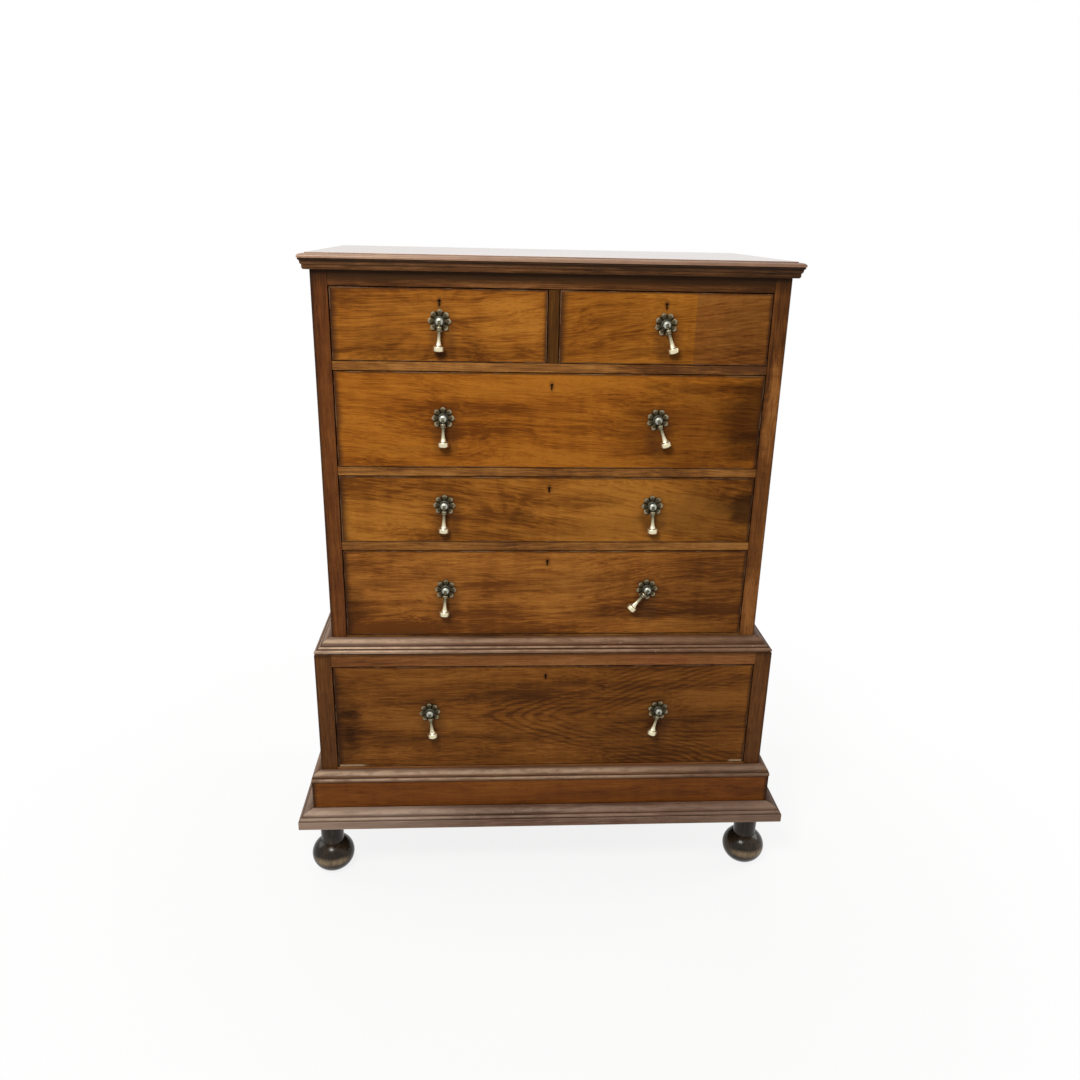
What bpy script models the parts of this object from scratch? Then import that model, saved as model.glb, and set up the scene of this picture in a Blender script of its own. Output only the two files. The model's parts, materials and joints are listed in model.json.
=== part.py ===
"""Chest of drawers on a stand: an upper chest of five drawers on a stand with one deep drawer.

Metres, +Z up. The front faces -Y, the floor is z = 0, and the origin is under the middle of the base.
"""

import math

import bmesh
import bpy

# Plan: each part of the stand stands out from the part above it, at the front and at both sides.
CASE_WIDTH = 0.900
CASE_DEPTH = 0.480
STAND_STEP = 0.033
FRIEZE_THICKNESS = 0.019
BASE_STEP = 0.029

# Heights, from the floor up. An opening is the space that a drawer slides in.
FOOT_HEIGHT = 0.1385
BASE_HEIGHT = 0.036
FRIEZE_HEIGHT = 0.063
CAP_HEIGHT = 0.0225
STAND_SILL = 0.003
STAND_OPENING = 0.244
STAND_RAIL = 0.027
WAIST_HEIGHT = 0.027
CASE_SILL = 0.003
LOWER_OPENING = 0.190
MIDDLE_OPENING = 0.140
UPPER_OPENING = 0.190
SHORT_OPENING = 0.138
DRAWER_RAIL = 0.017
TOP_RAIL = 0.028
CORNICE_HEIGHT = 0.0205
TOP_THICKNESS = 0.0095

# Boards of the carcase
CASE_SIDE = 0.018
CASE_STILE = 0.031
STAND_SIDE = 0.020
STAND_STILE = 0.035
BACK_THICKNESS = 0.009
DIVIDER_THICKNESS = 0.020
FLOOR_THICKNESS = 0.018
STAND_TOP_THICKNESS = 0.014
STAND_DUST_THICKNESS = 0.016
RAIL_RECESS = 0.003
BASE_BAR = 0.115

# Drawers
FRONT_THICKNESS = 0.020
DRAWER_RECESS = 0.0015
FRONT_GAP = 0.002
FRONT_LIFT = 0.0012
BOX_WALL = 0.010
BOX_INSET = 0.0005
BOX_DROP = 0.006
BOX_BACK_DROP = 0.008
BOTTOM_THICKNESS = 0.006
BOTTOM_RAISE = 0.007
BACK_ROOM = 0.015
GUIDE_HEIGHT = 0.022
GUIDE_INSET = 0.001
STOP_WIDTH = 0.040
STOP_DEPTH = 0.020
STOP_HEIGHT = 0.005
STOP_INSET = 0.090
JOINT_OVERLAP = 0.003

# Keyholes
KEYHOLE_DROP = 0.0245
KEYHOLE_DIAMETER = 0.0055
KEYHOLE_SLOT = 0.0028
KEYHOLE_LENGTH = 0.0125

# Mouldings: widths stand out from the face behind, heights are of each member.
TOP_OVERHANG = 0.019
TOP_FASCIA = 0.003
TOP_ROUND = 0.013
TOP_STEP = 0.0015
CORNICE_FOOT_OUT = 0.0082
CORNICE_FOOT = 0.0045
CORNICE_BAND_OUT = 0.0118
CORNICE_BAND = 0.0045
CORNICE_HEAD_OUT = 0.0175
CORNICE_HEAD = 0.003
WAIST_UNDERCUT = 0.003
WAIST_UNDERCUT_DEPTH = 0.002
WAIST_NOSE = 0.002
WAIST_BEAD = 0.006
WAIST_BEAD_HEIGHT = 0.0038
WAIST_QUIRK = 0.001
WAIST_RISER = 0.002
WAIST_LIP = 0.002
CAP_NOSE_OUT = 0.001
CAP_NOSE = 0.0095
CAP_QUIRK = 0.0015
CAP_LIP = 0.002
BASE_FASCIA = 0.0185
BASE_QUIRK = 0.002
BASE_BEAD = 0.005
BASE_BEAD_HEIGHT = 0.0045
BASE_RISER = 0.0015
BASE_LIP = 0.002
ROUND_STEPS = 4

# Feet
FOOT_INSET = 0.060
BALL_DIAMETER = 0.093
BALL_RISE = 0.0405
SOLE_DIAMETER = 0.040
FOOT_NECK_DIAMETER = 0.050
FOOT_TOP_DIAMETER = 0.058
FOOT_TOP_HEIGHT = 0.012
DOWEL_DIAMETER = 0.025
DOWEL_LENGTH = 0.024
DOWEL_END_ROOM = 0.001
FOOT_SIDES = 16

# Drop handles
HANDLE_SPREAD = 0.421
STAND_HANDLE_SPREAD = 0.492
ROSE_DIAMETER = 0.044
ROSE_LOBES = 8
ROSE_LOBE_DEPTH = 0.004
ROSE_THICKNESS = 0.0024
BOSS_DIAMETER = 0.015
BOSS_NOSE = 0.0045
BOSS_DOME = 0.0042
STEM_DIAMETER = 0.005
STEM_TAIL = 0.006
PIN_DIAMETER = 0.0024
PIN_DROP = 0.002
PIN_GRIP = 0.003
EYE_DIAMETER = 0.0075
EYE_WIDTH = 0.005
SHANK_DIAMETER = 0.0046
PENDANT_LENGTH = 0.0545
COLLAR_TOP = 0.0078
COLLAR_HEIGHT = 0.009
COLLAR_DIAMETER = 0.011
NECK_DIAMETER = 0.0064
FLARE_HEIGHT = 0.017
BULB_HEIGHT = 0.0115
BULB_DIAMETER = 0.020
BULB_ROUND = 0.002
BULB_CLEARANCE = 0.0012
TURNED_SIDES = 12
LOBE_STEPS = 4

# Room between neighbouring pieces, and how near two points count as one
GAP = 0.0003
WELD = 1e-6

# The steepest bend that is shaded smooth, and the bend under which two faces count as one
SMOOTH_ANGLE = math.radians(35)
FLAT_ANGLE = math.radians(0.5)
SIDES = (("left", -1), ("right", 1))

# How far each handle stands above the middle of its drawer, and how far its pendant hangs to the right
HANDLE_RISE = {"top": 0.008, "upper": 0.005, "middle": 0.010, "lower": 0.009, "stand": 0.013}
HANDLE_TILT = {
    "top_left": -2.5,
    "top_right": 18.0,
    "upper_left": 0.0,
    "upper_right": 20.0,
    "middle_left": -2.0,
    "middle_right": 2.0,
    "lower_left": -3.0,
    "lower_right": -39.0,
    "stand_left": 6.0,
    "stand_right": -14.0,
}

# Plan lines worked out from the sizes above
total_depth = CASE_DEPTH + STAND_STEP + FRIEZE_THICKNESS + BASE_STEP
back = total_depth / 2
case_front = back - CASE_DEPTH
stand_front = case_front - STAND_STEP
frieze_front = stand_front - FRIEZE_THICKNESS
base_front = frieze_front - BASE_STEP
case_half = CASE_WIDTH / 2
stand_half = case_half + STAND_STEP
frieze_half = stand_half + FRIEZE_THICKNESS
base_half = frieze_half + BASE_STEP
case_opening_half = case_half - CASE_STILE
stand_opening_half = stand_half - STAND_STILE
frame_depth = DRAWER_RECESS + FRONT_THICKNESS
back_front = back - BACK_THICKNESS

# Levels worked out from the heights above
base_top = FOOT_HEIGHT + BASE_HEIGHT
frieze_top = base_top + FRIEZE_HEIGHT
cap_top = frieze_top + CAP_HEIGHT
stand_sill = cap_top + STAND_SILL
stand_opening_top = stand_sill + STAND_OPENING
stand_top = stand_opening_top + STAND_RAIL
waist_top = stand_top + WAIST_HEIGHT
case_sill = waist_top + CASE_SILL
lower_top = case_sill + LOWER_OPENING
middle_bottom = lower_top + DRAWER_RAIL
middle_top = middle_bottom + MIDDLE_OPENING
upper_bottom = middle_top + DRAWER_RAIL
upper_top = upper_bottom + UPPER_OPENING
short_bottom = upper_top + DRAWER_RAIL
short_top = short_bottom + SHORT_OPENING
cornice_bottom = short_top + TOP_RAIL
cornice_top = cornice_bottom + CORNICE_HEIGHT
top_surface = cornice_top + TOP_THICKNESS

# The pin of a handle stands far enough out for the bulb to hang clear of the drawer.
pin_out = BULB_DIAMETER / 2 + BULB_CLEARANCE
boss_length = pin_out + BOSS_NOSE

for old in list(bpy.data.objects):
    bpy.data.objects.remove(old, do_unlink=True)
parts = bpy.data.collections.new("chest_on_stand")
cutters = bpy.data.collections.new("cutters")
bpy.context.scene.collection.children.link(parts)
bpy.context.scene.collection.children.link(cutters)


def make_material(name, colour, roughness, metallic=0.0):
    material = bpy.data.materials.new(name)
    material.use_nodes = True
    shader = material.node_tree.nodes["Principled BSDF"]
    shader.inputs["Base Color"].default_value = (*colour, 1.0)
    shader.inputs["Roughness"].default_value = roughness
    shader.inputs["Metallic"].default_value = metallic
    return material


front_wood = make_material("figured_mahogany", (0.23, 0.090, 0.022), 0.38)
frame_wood = make_material("red_mahogany", (0.110, 0.042, 0.018), 0.42)
moulding_wood = make_material("polished_moulding", (0.150, 0.070, 0.042), 0.35)
inner_wood = make_material("old_pine", (0.40, 0.26, 0.13), 0.70)
foot_wood = make_material("ebonised_turning", (0.035, 0.022, 0.014), 0.30)
rose_metal = make_material("dark_bronze", (0.20, 0.19, 0.14), 0.42, 1.0)
pendant_metal = make_material("pale_brass", (0.72, 0.62, 0.42), 0.32, 1.0)


def add_part(name, mesh, material, location=(0, 0, 0), rotation=(0, 0, 0), parent=None):
    if material.name not in mesh.materials:
        mesh.materials.append(material)
    part = bpy.data.objects.new(name, mesh)
    parts.objects.link(part)
    part.location = location
    part.rotation_euler = rotation
    part.parent = parent
    return part


def add_cutter(name, mesh, location=(0, 0, 0), rotation=(0, 0, 0), parent=None):
    cutter = bpy.data.objects.new(name, mesh)
    cutters.objects.link(cutter)
    cutter.location = location
    cutter.rotation_euler = rotation
    cutter.parent = parent
    cutter.hide_render = True
    cutter.display_type = "WIRE"
    return cutter


def add_empty(name, location, parent=None, rotation=(0, 0, 0)):
    empty = bpy.data.objects.new(name, None)
    parts.objects.link(empty)
    empty.location = location
    empty.rotation_euler = rotation
    empty.parent = parent
    return empty


def mesh_from(bm, name):
    bmesh.ops.recalc_face_normals(bm, faces=bm.faces)
    mesh = bpy.data.meshes.new(name)
    bm.to_mesh(mesh)
    bm.free()
    return mesh


def box_mesh(name, size):
    bm = bmesh.new()
    bmesh.ops.create_cube(bm, size=1.0)
    bmesh.ops.scale(bm, vec=size, verts=bm.verts)
    return mesh_from(bm, name)


def middle_and_size(low, high):
    middle = tuple((a + b) / 2 for a, b in zip(low, high))
    size = tuple(b - a for a, b in zip(low, high))
    return middle, size


def add_board(name, low, high, material, parent=None, parent_at=(0, 0, 0)):
    middle, size = middle_and_size(low, high)
    place = tuple(m - p for m, p in zip(middle, parent_at))
    return add_part(name, box_mesh(name, size), material, place, parent=parent)


def add_block(name, low, high, parent=None, parent_at=(0, 0, 0)):
    middle, size = middle_and_size(low, high)
    place = tuple(m - p for m, p in zip(middle, parent_at))
    return add_cutter(name, box_mesh(name, size), place, parent=parent)


def combine(part, operation, tools):
    # Cuts or joins a part with all the tools at once
    group = bpy.data.collections.new(f"{part.name}_{operation.lower()}")
    cutters.children.link(group)
    for tool in tools:
        cutters.objects.unlink(tool)
        group.objects.link(tool)
    modifier = part.modifiers.new(operation.lower(), "BOOLEAN")
    modifier.operation = operation
    modifier.solver = "EXACT"
    modifier.operand_type = "COLLECTION"
    modifier.collection = group


def evaluated_mesh(part):
    bpy.context.view_layer.update()
    graph = bpy.context.evaluated_depsgraph_get()
    return bpy.data.meshes.new_from_object(part.evaluated_get(graph))


def outline_mesh(name, loops, thickness):
    # A flat outline, with any holes as further loops, made a mesh whose caps are welded to its sides
    curve = bpy.data.curves.new(name, "CURVE")
    curve.dimensions = "2D"
    curve.fill_mode = "BOTH"
    curve.extrude = thickness / 2
    for loop in loops:
        spline = curve.splines.new("POLY")
        spline.points.add(len(loop) - 1)
        for point, (x, y) in zip(spline.points, loop):
            point.co = (x, y, 0.0, 1.0)
        spline.use_cyclic_u = True
    holder = add_cutter(f"{name}_outline", curve)
    mesh = evaluated_mesh(holder)
    bpy.data.objects.remove(holder, do_unlink=True)
    bm = bmesh.new()
    bm.from_mesh(mesh)
    bmesh.ops.remove_doubles(bm, verts=bm.verts, dist=WELD)
    bmesh.ops.dissolve_limit(bm, angle_limit=FLAT_ANGLE, verts=bm.verts, edges=bm.edges)
    return mesh_from(bm, name)


def rectangle(half_width, low, high):
    return [(-half_width, low), (half_width, low), (half_width, high), (-half_width, high)]


def profile_mesh(name, points):
    # The edge of a turned shape, from top to bottom on its outer side
    mesh = bpy.data.meshes.new(name)
    edges = [(i, i + 1) for i in range(len(points) - 1)]
    mesh.from_pydata([(radius, 0.0, height) for radius, height in points], edges, [])
    return mesh


def turn(part, sides):
    screw = part.modifiers.new("turned", "SCREW")
    screw.axis = "Z"
    screw.steps = sides
    screw.render_steps = sides
    screw.use_merge_vertices = True
    screw.merge_threshold = WELD
    screw.use_smooth_shade = True


def cylinder_mesh(name, diameter, length, sides):
    bm = bmesh.new()
    bmesh.ops.create_cone(
        bm, cap_ends=True, segments=sides, radius1=diameter / 2, radius2=diameter / 2, depth=length
    )
    return mesh_from(bm, name)


def rounded(start, end, hollow=False):
    # A quarter round or, hollow, a cove, from one point of a profile to another, without the first
    points = []
    for step in range(1, ROUND_STEPS + 1):
        turned = math.pi / 2 * step / ROUND_STEPS
        if hollow:
            out = start[0] + (end[0] - start[0]) * math.sin(turned)
            up = end[1] + (start[1] - end[1]) * math.cos(turned)
        else:
            out = end[0] + (start[0] - end[0]) * math.cos(turned)
            up = start[1] + (end[1] - start[1]) * math.sin(turned)
        points.append((out, up))
    return points


def draw_out(bm, face):
    # Extrudes a face and gives the new face at its end, ready to be moved
    made = bmesh.ops.extrude_face_region(bm, geom=[face, *face.edges, *face.verts])["geom"]
    return next(item for item in made if isinstance(item, bmesh.types.BMFace))


def moulding_mesh(name, profile, half_width, front):
    # A profile (out, height) carried round three sides with mitred corners, open at the back
    stations = [
        ((-half_width, back), (-1.0, 0.0)),
        ((-half_width, front), (-1.0, -1.0)),
        ((half_width, front), (1.0, -1.0)),
        ((half_width, back), (1.0, 0.0)),
    ]
    bm = bmesh.new()
    (x, y), (away_x, away_y) = stations[0]
    face = bm.faces.new([bm.verts.new((x + out * away_x, y + out * away_y, up)) for out, up in profile])
    for (old_at, old_away), (new_at, new_away) in zip(stations, stations[1:]):
        face = draw_out(bm, face)
        length = old_away[0] ** 2 + old_away[1] ** 2
        for vert in face.verts:
            reach = (vert.co.x - old_at[0]) * old_away[0] + (vert.co.y - old_at[1]) * old_away[1]
            out = reach / length
            vert.co.x = new_at[0] + out * new_away[0]
            vert.co.y = new_at[1] + out * new_away[1]
    return mesh_from(bm, name)


def edged_board_mesh(name, profile, half_width, front):
    # A board with a moulded edge: a rectangle drawn up through the profile, then sawn off flat at the back
    bm = bmesh.new()
    behind = 2 * back - front
    out, height = profile[0]
    plan = rectangle(half_width + out, front - out, behind + out)
    face = bm.faces.new([bm.verts.new((x, y, height)) for x, y in plan])
    for out, height in profile[1:]:
        face = draw_out(bm, face)
        for vert in face.verts:
            vert.co.x = math.copysign(half_width + out, vert.co.x)
            vert.co.y = front - out if vert.co.y < back else behind + out
            vert.co.z = height
    whole = [*bm.verts, *bm.edges, *bm.faces]
    place = (0, back, 0)
    sawn = bmesh.ops.bisect_plane(bm, geom=whole, plane_co=place, plane_no=(0, 1, 0), clear_outer=True)
    rim = [item for item in sawn["geom_cut"] if isinstance(item, bmesh.types.BMEdge)]
    bmesh.ops.edgeloop_fill(bm, edges=rim)
    return mesh_from(bm, name)


def across(sign, inner, outer):
    # The lower and higher x of a piece on one side, from its inner and outer distance
    return (inner, outer) if sign > 0 else (-outer, -inner)


def add_foot(name, sign_x, y):
    ball = BALL_DIAMETER / 2
    neck = FOOT_NECK_DIAMETER / 2
    top = FOOT_TOP_DIAMETER / 2
    centre = BALL_RISE * math.sqrt(1 - (SOLE_DIAMETER / BALL_DIAMETER) ** 2)
    low = math.asin(-centre / BALL_RISE)
    high = math.acos(neck / ball)
    head = FOOT_HEIGHT - GAP
    crease = centre + BALL_RISE * math.sin(high)
    dowel = DOWEL_DIAMETER / 2
    points = [(0.0, head + DOWEL_LENGTH), (dowel, head + DOWEL_LENGTH), (dowel, head)]
    points += [(top, head), (top, head - FOOT_TOP_HEIGHT)]
    points += rounded((top, head - FOOT_TOP_HEIGHT), (neck, crease), hollow=True)
    ball_steps = 2 * ROUND_STEPS
    for step in range(1, ball_steps + 1):
        turned = high + (low - high) * step / ball_steps
        points.append((ball * math.cos(turned), centre + BALL_RISE * math.sin(turned)))
    points[-1] = (SOLE_DIAMETER / 2, 0.0)
    points.append((0.0, 0.0))
    foot = add_part(name, profile_mesh(name, points), foot_wood, (sign_x * (base_half - FOOT_INSET), y, 0.0))
    turn(foot, FOOT_SIDES)
    return foot


def build_base():
    bead_top = BASE_FASCIA + BASE_QUIRK + BASE_BEAD_HEIGHT
    quirk_out = BASE_STEP - BASE_QUIRK
    upper_out = quirk_out - BASE_BEAD - BASE_RISER
    top = BASE_HEIGHT - GAP
    profile = [(BASE_STEP, 0.0), (BASE_STEP, BASE_FASCIA), (quirk_out, BASE_FASCIA)]
    profile.append((quirk_out, BASE_FASCIA + BASE_QUIRK))
    profile += rounded(profile[-1], (upper_out + BASE_RISER, bead_top))
    profile += [(upper_out, bead_top), (upper_out, bead_top + BASE_RISER)]
    profile += rounded(profile[-1], (BASE_LIP, top))
    mesh = edged_board_mesh("base_frame", profile, frieze_half, frieze_front)
    base = add_part("base_frame", mesh, moulding_wood, (0.0, 0.0, FOOT_HEIGHT))
    inner = base_half - BASE_BAR
    opening = add_block(
        "base_opening",
        (-inner, base_front + BASE_BAR, FOOT_HEIGHT - BASE_HEIGHT),
        (inner, back - BASE_BAR, base_top + BASE_HEIGHT),
    )
    cuts = [opening]
    for row, y in (("front", base_front + FOOT_INSET), ("back", back - FOOT_INSET)):
        for side, sign in SIDES:
            foot = add_foot(f"foot_{row}_{side}", sign, y)
            depth = DOWEL_LENGTH + DOWEL_END_ROOM
            bore = cylinder_mesh("dowel_bore", DOWEL_DIAMETER + 2 * GAP, 2 * depth, FOOT_SIDES)
            place = (foot.location.x, y, FOOT_HEIGHT)
            cuts.append(add_cutter(f"dowel_bore_{row}_{side}", bore, place))
    combine(base, "DIFFERENCE", cuts)


def build_plinth():
    frieze = [(GAP, base_top), (FRIEZE_THICKNESS, base_top)]
    frieze += [(FRIEZE_THICKNESS, frieze_top - GAP), (GAP, frieze_top - GAP)]
    mesh = moulding_mesh("plinth_frieze", frieze, stand_half, stand_front)
    add_part("plinth_frieze", mesh, frame_wood)

    nose = FRIEZE_THICKNESS + CAP_NOSE_OUT
    nose_top = frieze_top + CAP_NOSE
    hollow_out = FRIEZE_THICKNESS - CAP_QUIRK
    cap = [(GAP, frieze_top), (FRIEZE_THICKNESS, frieze_top), (nose, frieze_top + CAP_QUIRK)]
    cap += rounded(cap[-1], (hollow_out + CAP_QUIRK, nose_top))
    cap += [(hollow_out, nose_top), (hollow_out, nose_top + CAP_QUIRK)]
    cap += rounded(cap[-1], (CAP_LIP, cap_top - GAP))
    cap.append((GAP, cap_top - GAP))
    mesh = moulding_mesh("plinth_cap_moulding", cap, stand_half, stand_front)
    add_part("plinth_cap_moulding", mesh, moulding_wood)


def add_drawer_board(name, half_width, opening_half, front, seat, top, thickness, stops, material):
    # A board that a drawer runs on. It is notched round the stiles in front of its seat, and side
    # guides and stops for the drawer are glued on it behind them.
    rear = back_front - GAP
    under = top - thickness
    board = add_board(name, (-half_width, front, under), (half_width, rear, top), material)
    root = top - JOINT_OVERLAP
    notches = []
    blocks = []
    for side, sign in SIDES:
        if front < seat:
            low_x, high_x = across(sign, opening_half - GAP, 2 * half_width)
            notch = add_block(
                f"{name}_notch_{side}",
                (low_x, front - thickness, under - thickness),
                (high_x, seat, top + thickness),
            )
            notches.append(notch)
        low_x, high_x = across(sign, opening_half, half_width - GUIDE_INSET)
        guide = add_block(
            f"{name}_guide_{side}",
            (low_x, seat + GUIDE_INSET, root),
            (high_x, rear - GUIDE_INSET, top + GUIDE_HEIGHT),
        )
        blocks.append(guide)
    for number, middle in enumerate(stops, 1):
        stop = add_block(
            f"{name}_stop_{number}",
            (middle - STOP_WIDTH / 2, seat + GAP, root),
            (middle + STOP_WIDTH / 2, seat + GAP + STOP_DEPTH, top + STOP_HEIGHT),
        )
        blocks.append(stop)
    if notches:
        combine(board, "DIFFERENCE", notches)
    combine(board, "UNION", blocks)


def build_stand():
    frame_back = stand_front + frame_depth
    inner_half = stand_half - STAND_SIDE - GAP
    outer = rectangle(stand_half, base_top, stand_top - GAP)
    opening = rectangle(stand_opening_half, stand_sill, stand_opening_top)
    frame_mesh = outline_mesh("stand_face_frame", [outer, opening], frame_depth)
    upright = (math.pi / 2, 0.0, 0.0)
    add_part("stand_face_frame", frame_mesh, frame_wood, (0.0, stand_front + frame_depth / 2, 0.0), upright)

    for side, sign in SIDES:
        low_x, high_x = across(sign, stand_half - STAND_SIDE, stand_half)
        low = (low_x, frame_back + GAP, base_top)
        add_board(f"stand_side_{side}", low, (high_x, back, stand_top - GAP), frame_wood)
    low = (-inner_half, back_front, base_top)
    add_board("stand_back", low, (inner_half, back, stand_top - GAP), inner_wood)
    add_board(
        "stand_top_board",
        (-inner_half, frame_back + GAP, stand_top - STAND_TOP_THICKNESS),
        (inner_half, back_front - GAP, stand_top - GAP),
        inner_wood,
    )
    stop_x = stand_opening_half - STOP_INSET
    add_drawer_board(
        "stand_dust_board",
        inner_half,
        stand_opening_half,
        frame_back + GAP,
        frame_back + GAP,
        stand_sill - GAP,
        STAND_DUST_THICKNESS,
        (-stop_x, stop_x),
        inner_wood,
    )

    upper_out = STAND_STEP - 2 * WAIST_BEAD - 2 * WAIST_QUIRK
    first = stand_top + WAIST_UNDERCUT + WAIST_NOSE
    second = first + WAIST_BEAD_HEIGHT
    third = second + WAIST_QUIRK + WAIST_BEAD_HEIGHT
    shelf = STAND_STEP - WAIST_BEAD
    foot_out = STAND_STEP - WAIST_UNDERCUT_DEPTH
    waist = [(GAP, stand_top), (foot_out, stand_top), (foot_out, stand_top + WAIST_UNDERCUT)]
    waist += [(STAND_STEP, stand_top + WAIST_UNDERCUT), (STAND_STEP, first)]
    waist += rounded(waist[-1], (shelf, second))
    waist += [(shelf - WAIST_QUIRK, second), (shelf - WAIST_QUIRK, second + WAIST_QUIRK)]
    waist += rounded(waist[-1], (upper_out + WAIST_QUIRK, third))
    waist += [(upper_out, third), (upper_out, third + WAIST_RISER)]
    waist += rounded(waist[-1], (WAIST_LIP, waist_top - GAP))
    waist.append((GAP, waist_top - GAP))
    mesh = moulding_mesh("waist_moulding", waist, case_half, case_front)
    add_part("waist_moulding", mesh, moulding_wood)


def build_case():
    frame_back = case_front + frame_depth
    inner_half = case_half - CASE_SIDE - GAP
    head = cornice_top - GAP
    for side, sign in SIDES:
        low_x, high_x = across(sign, case_half - CASE_SIDE, case_half)
        low = (low_x, frame_back + GAP, stand_top)
        add_board(f"upper_side_{side}", low, (high_x, back, head), frame_wood)
        low_x, high_x = across(sign, case_opening_half, case_half)
        low = (low_x, case_front, stand_top)
        add_board(f"upper_stile_{side}", low, (high_x, frame_back, head), frame_wood)

    add_board("upper_back", (-inner_half, back_front, stand_top), (inner_half, back, head), inner_wood)
    rail_half = case_opening_half - GAP
    low = (-rail_half, case_front, short_top)
    add_board("upper_top_rail", low, (rail_half, frame_back, head), frame_wood)
    half_divider = DIVIDER_THICKNESS / 2
    add_board(
        "short_drawer_divider",
        (-half_divider, case_front + RAIL_RECESS, short_bottom),
        (half_divider, back_front - GAP, short_top - GAP),
        frame_wood,
    )

    stop_x = case_opening_half - STOP_INSET
    pair = (-stop_x, stop_x)
    short_stops = (-stop_x, -half_divider - STOP_INSET, half_divider + STOP_INSET, stop_x)
    boards = (
        ("upper_floor", case_sill, FLOOR_THICKNESS, pair),
        ("dust_board_lower", middle_bottom, DRAWER_RAIL - GAP, pair),
        ("dust_board_middle", upper_bottom, DRAWER_RAIL - GAP, pair),
        ("dust_board_upper", short_bottom, DRAWER_RAIL - GAP, short_stops),
    )
    for name, top, thickness, stops in boards:
        front = case_front + RAIL_RECESS
        seat = frame_back + GAP
        add_drawer_board(
            name, inner_half, case_opening_half, front, seat, top - GAP, thickness, stops, frame_wood
        )

    round_height = TOP_THICKNESS - TOP_FASCIA - TOP_STEP
    profile = [(TOP_OVERHANG, 0.0), (TOP_OVERHANG, TOP_FASCIA)]
    profile += rounded(profile[-1], (TOP_OVERHANG - TOP_ROUND, TOP_FASCIA + round_height))
    profile.append((TOP_OVERHANG - TOP_ROUND, TOP_THICKNESS))
    mesh = edged_board_mesh("top_board", profile, case_half, case_front)
    add_part("top_board", mesh, moulding_wood, (0.0, 0.0, cornice_top))

    # From its head down: a fillet, a hollow over a round, a band and a small round.
    band_foot = (CORNICE_BAND_OUT, cornice_bottom + CORNICE_FOOT)
    band_head = (CORNICE_BAND_OUT, cornice_bottom + CORNICE_FOOT + CORNICE_BAND)
    brow = (CORNICE_HEAD_OUT, head - CORNICE_HEAD)
    bend = ((brow[0] + band_head[0]) / 2, (brow[1] + band_head[1]) / 2)
    cornice = [(GAP, head), (CORNICE_HEAD_OUT, head), brow]
    cornice += rounded(brow, bend, hollow=True)
    cornice += rounded(bend, band_head)
    cornice.append(band_foot)
    cornice += rounded(band_foot, (CORNICE_FOOT_OUT, cornice_bottom))
    cornice.append((GAP, cornice_bottom))
    cornice.reverse()
    mesh = moulding_mesh("cornice_moulding", cornice, case_half, case_front)
    add_part("cornice_moulding", mesh, moulding_wood)


def backplate_mesh():
    # Rose, domed boss and threaded stem; the boss is slotted for the pendant's eye and holds its pin.
    away = (math.pi / 2, 0.0, 0.0)
    boss = BOSS_DIAMETER / 2
    stem = STEM_DIAMETER / 2
    inside = FRONT_THICKNESS + STEM_TAIL
    points = [(0.0, boss_length)]
    dome = rounded((boss, boss_length - BOSS_DOME), (0.0, boss_length))
    points += reversed(dome[:-1])
    points += [(boss, boss_length - BOSS_DOME), (boss, GAP), (stem, GAP), (stem, -inside), (0.0, -inside)]
    plate = add_cutter("backplate_turning", profile_mesh("backplate_turning", points), rotation=away)
    turn(plate, TURNED_SIDES)

    middle = ROSE_DIAMETER / 2 - ROSE_LOBE_DEPTH / 2
    steps = ROSE_LOBES * LOBE_STEPS
    loop = []
    for step in range(steps):
        angle = 2 * math.pi * step / steps
        radius = middle + ROSE_LOBE_DEPTH / 2 * math.cos(ROSE_LOBES * angle)
        loop.append((radius * math.sin(angle), radius * math.cos(angle)))
    rose_mesh = outline_mesh("rose", [loop], ROSE_THICKNESS)
    rose = add_cutter("rose", rose_mesh, (0.0, -GAP - ROSE_THICKNESS / 2, 0.0), away)
    combine(plate, "UNION", [rose])

    slot_half = EYE_WIDTH / 2 + GAP
    eye_room = EYE_DIAMETER / 2 + GAP
    slot = add_block(
        "boss_slot",
        (-slot_half, -2 * boss_length, -PIN_DROP - BOSS_DIAMETER),
        (slot_half, -pin_out + eye_room, -PIN_DROP + eye_room),
    )
    combine(plate, "DIFFERENCE", [slot])
    pin_mesh = cylinder_mesh("pin", PIN_DIAMETER, 2 * (slot_half + PIN_GRIP), TURNED_SIDES)
    pin = add_cutter("pin", pin_mesh, (0.0, -pin_out, -PIN_DROP), (0.0, math.pi / 2, 0.0))
    combine(plate, "UNION", [pin])
    return finished_mesh("backplate", plate)


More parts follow.
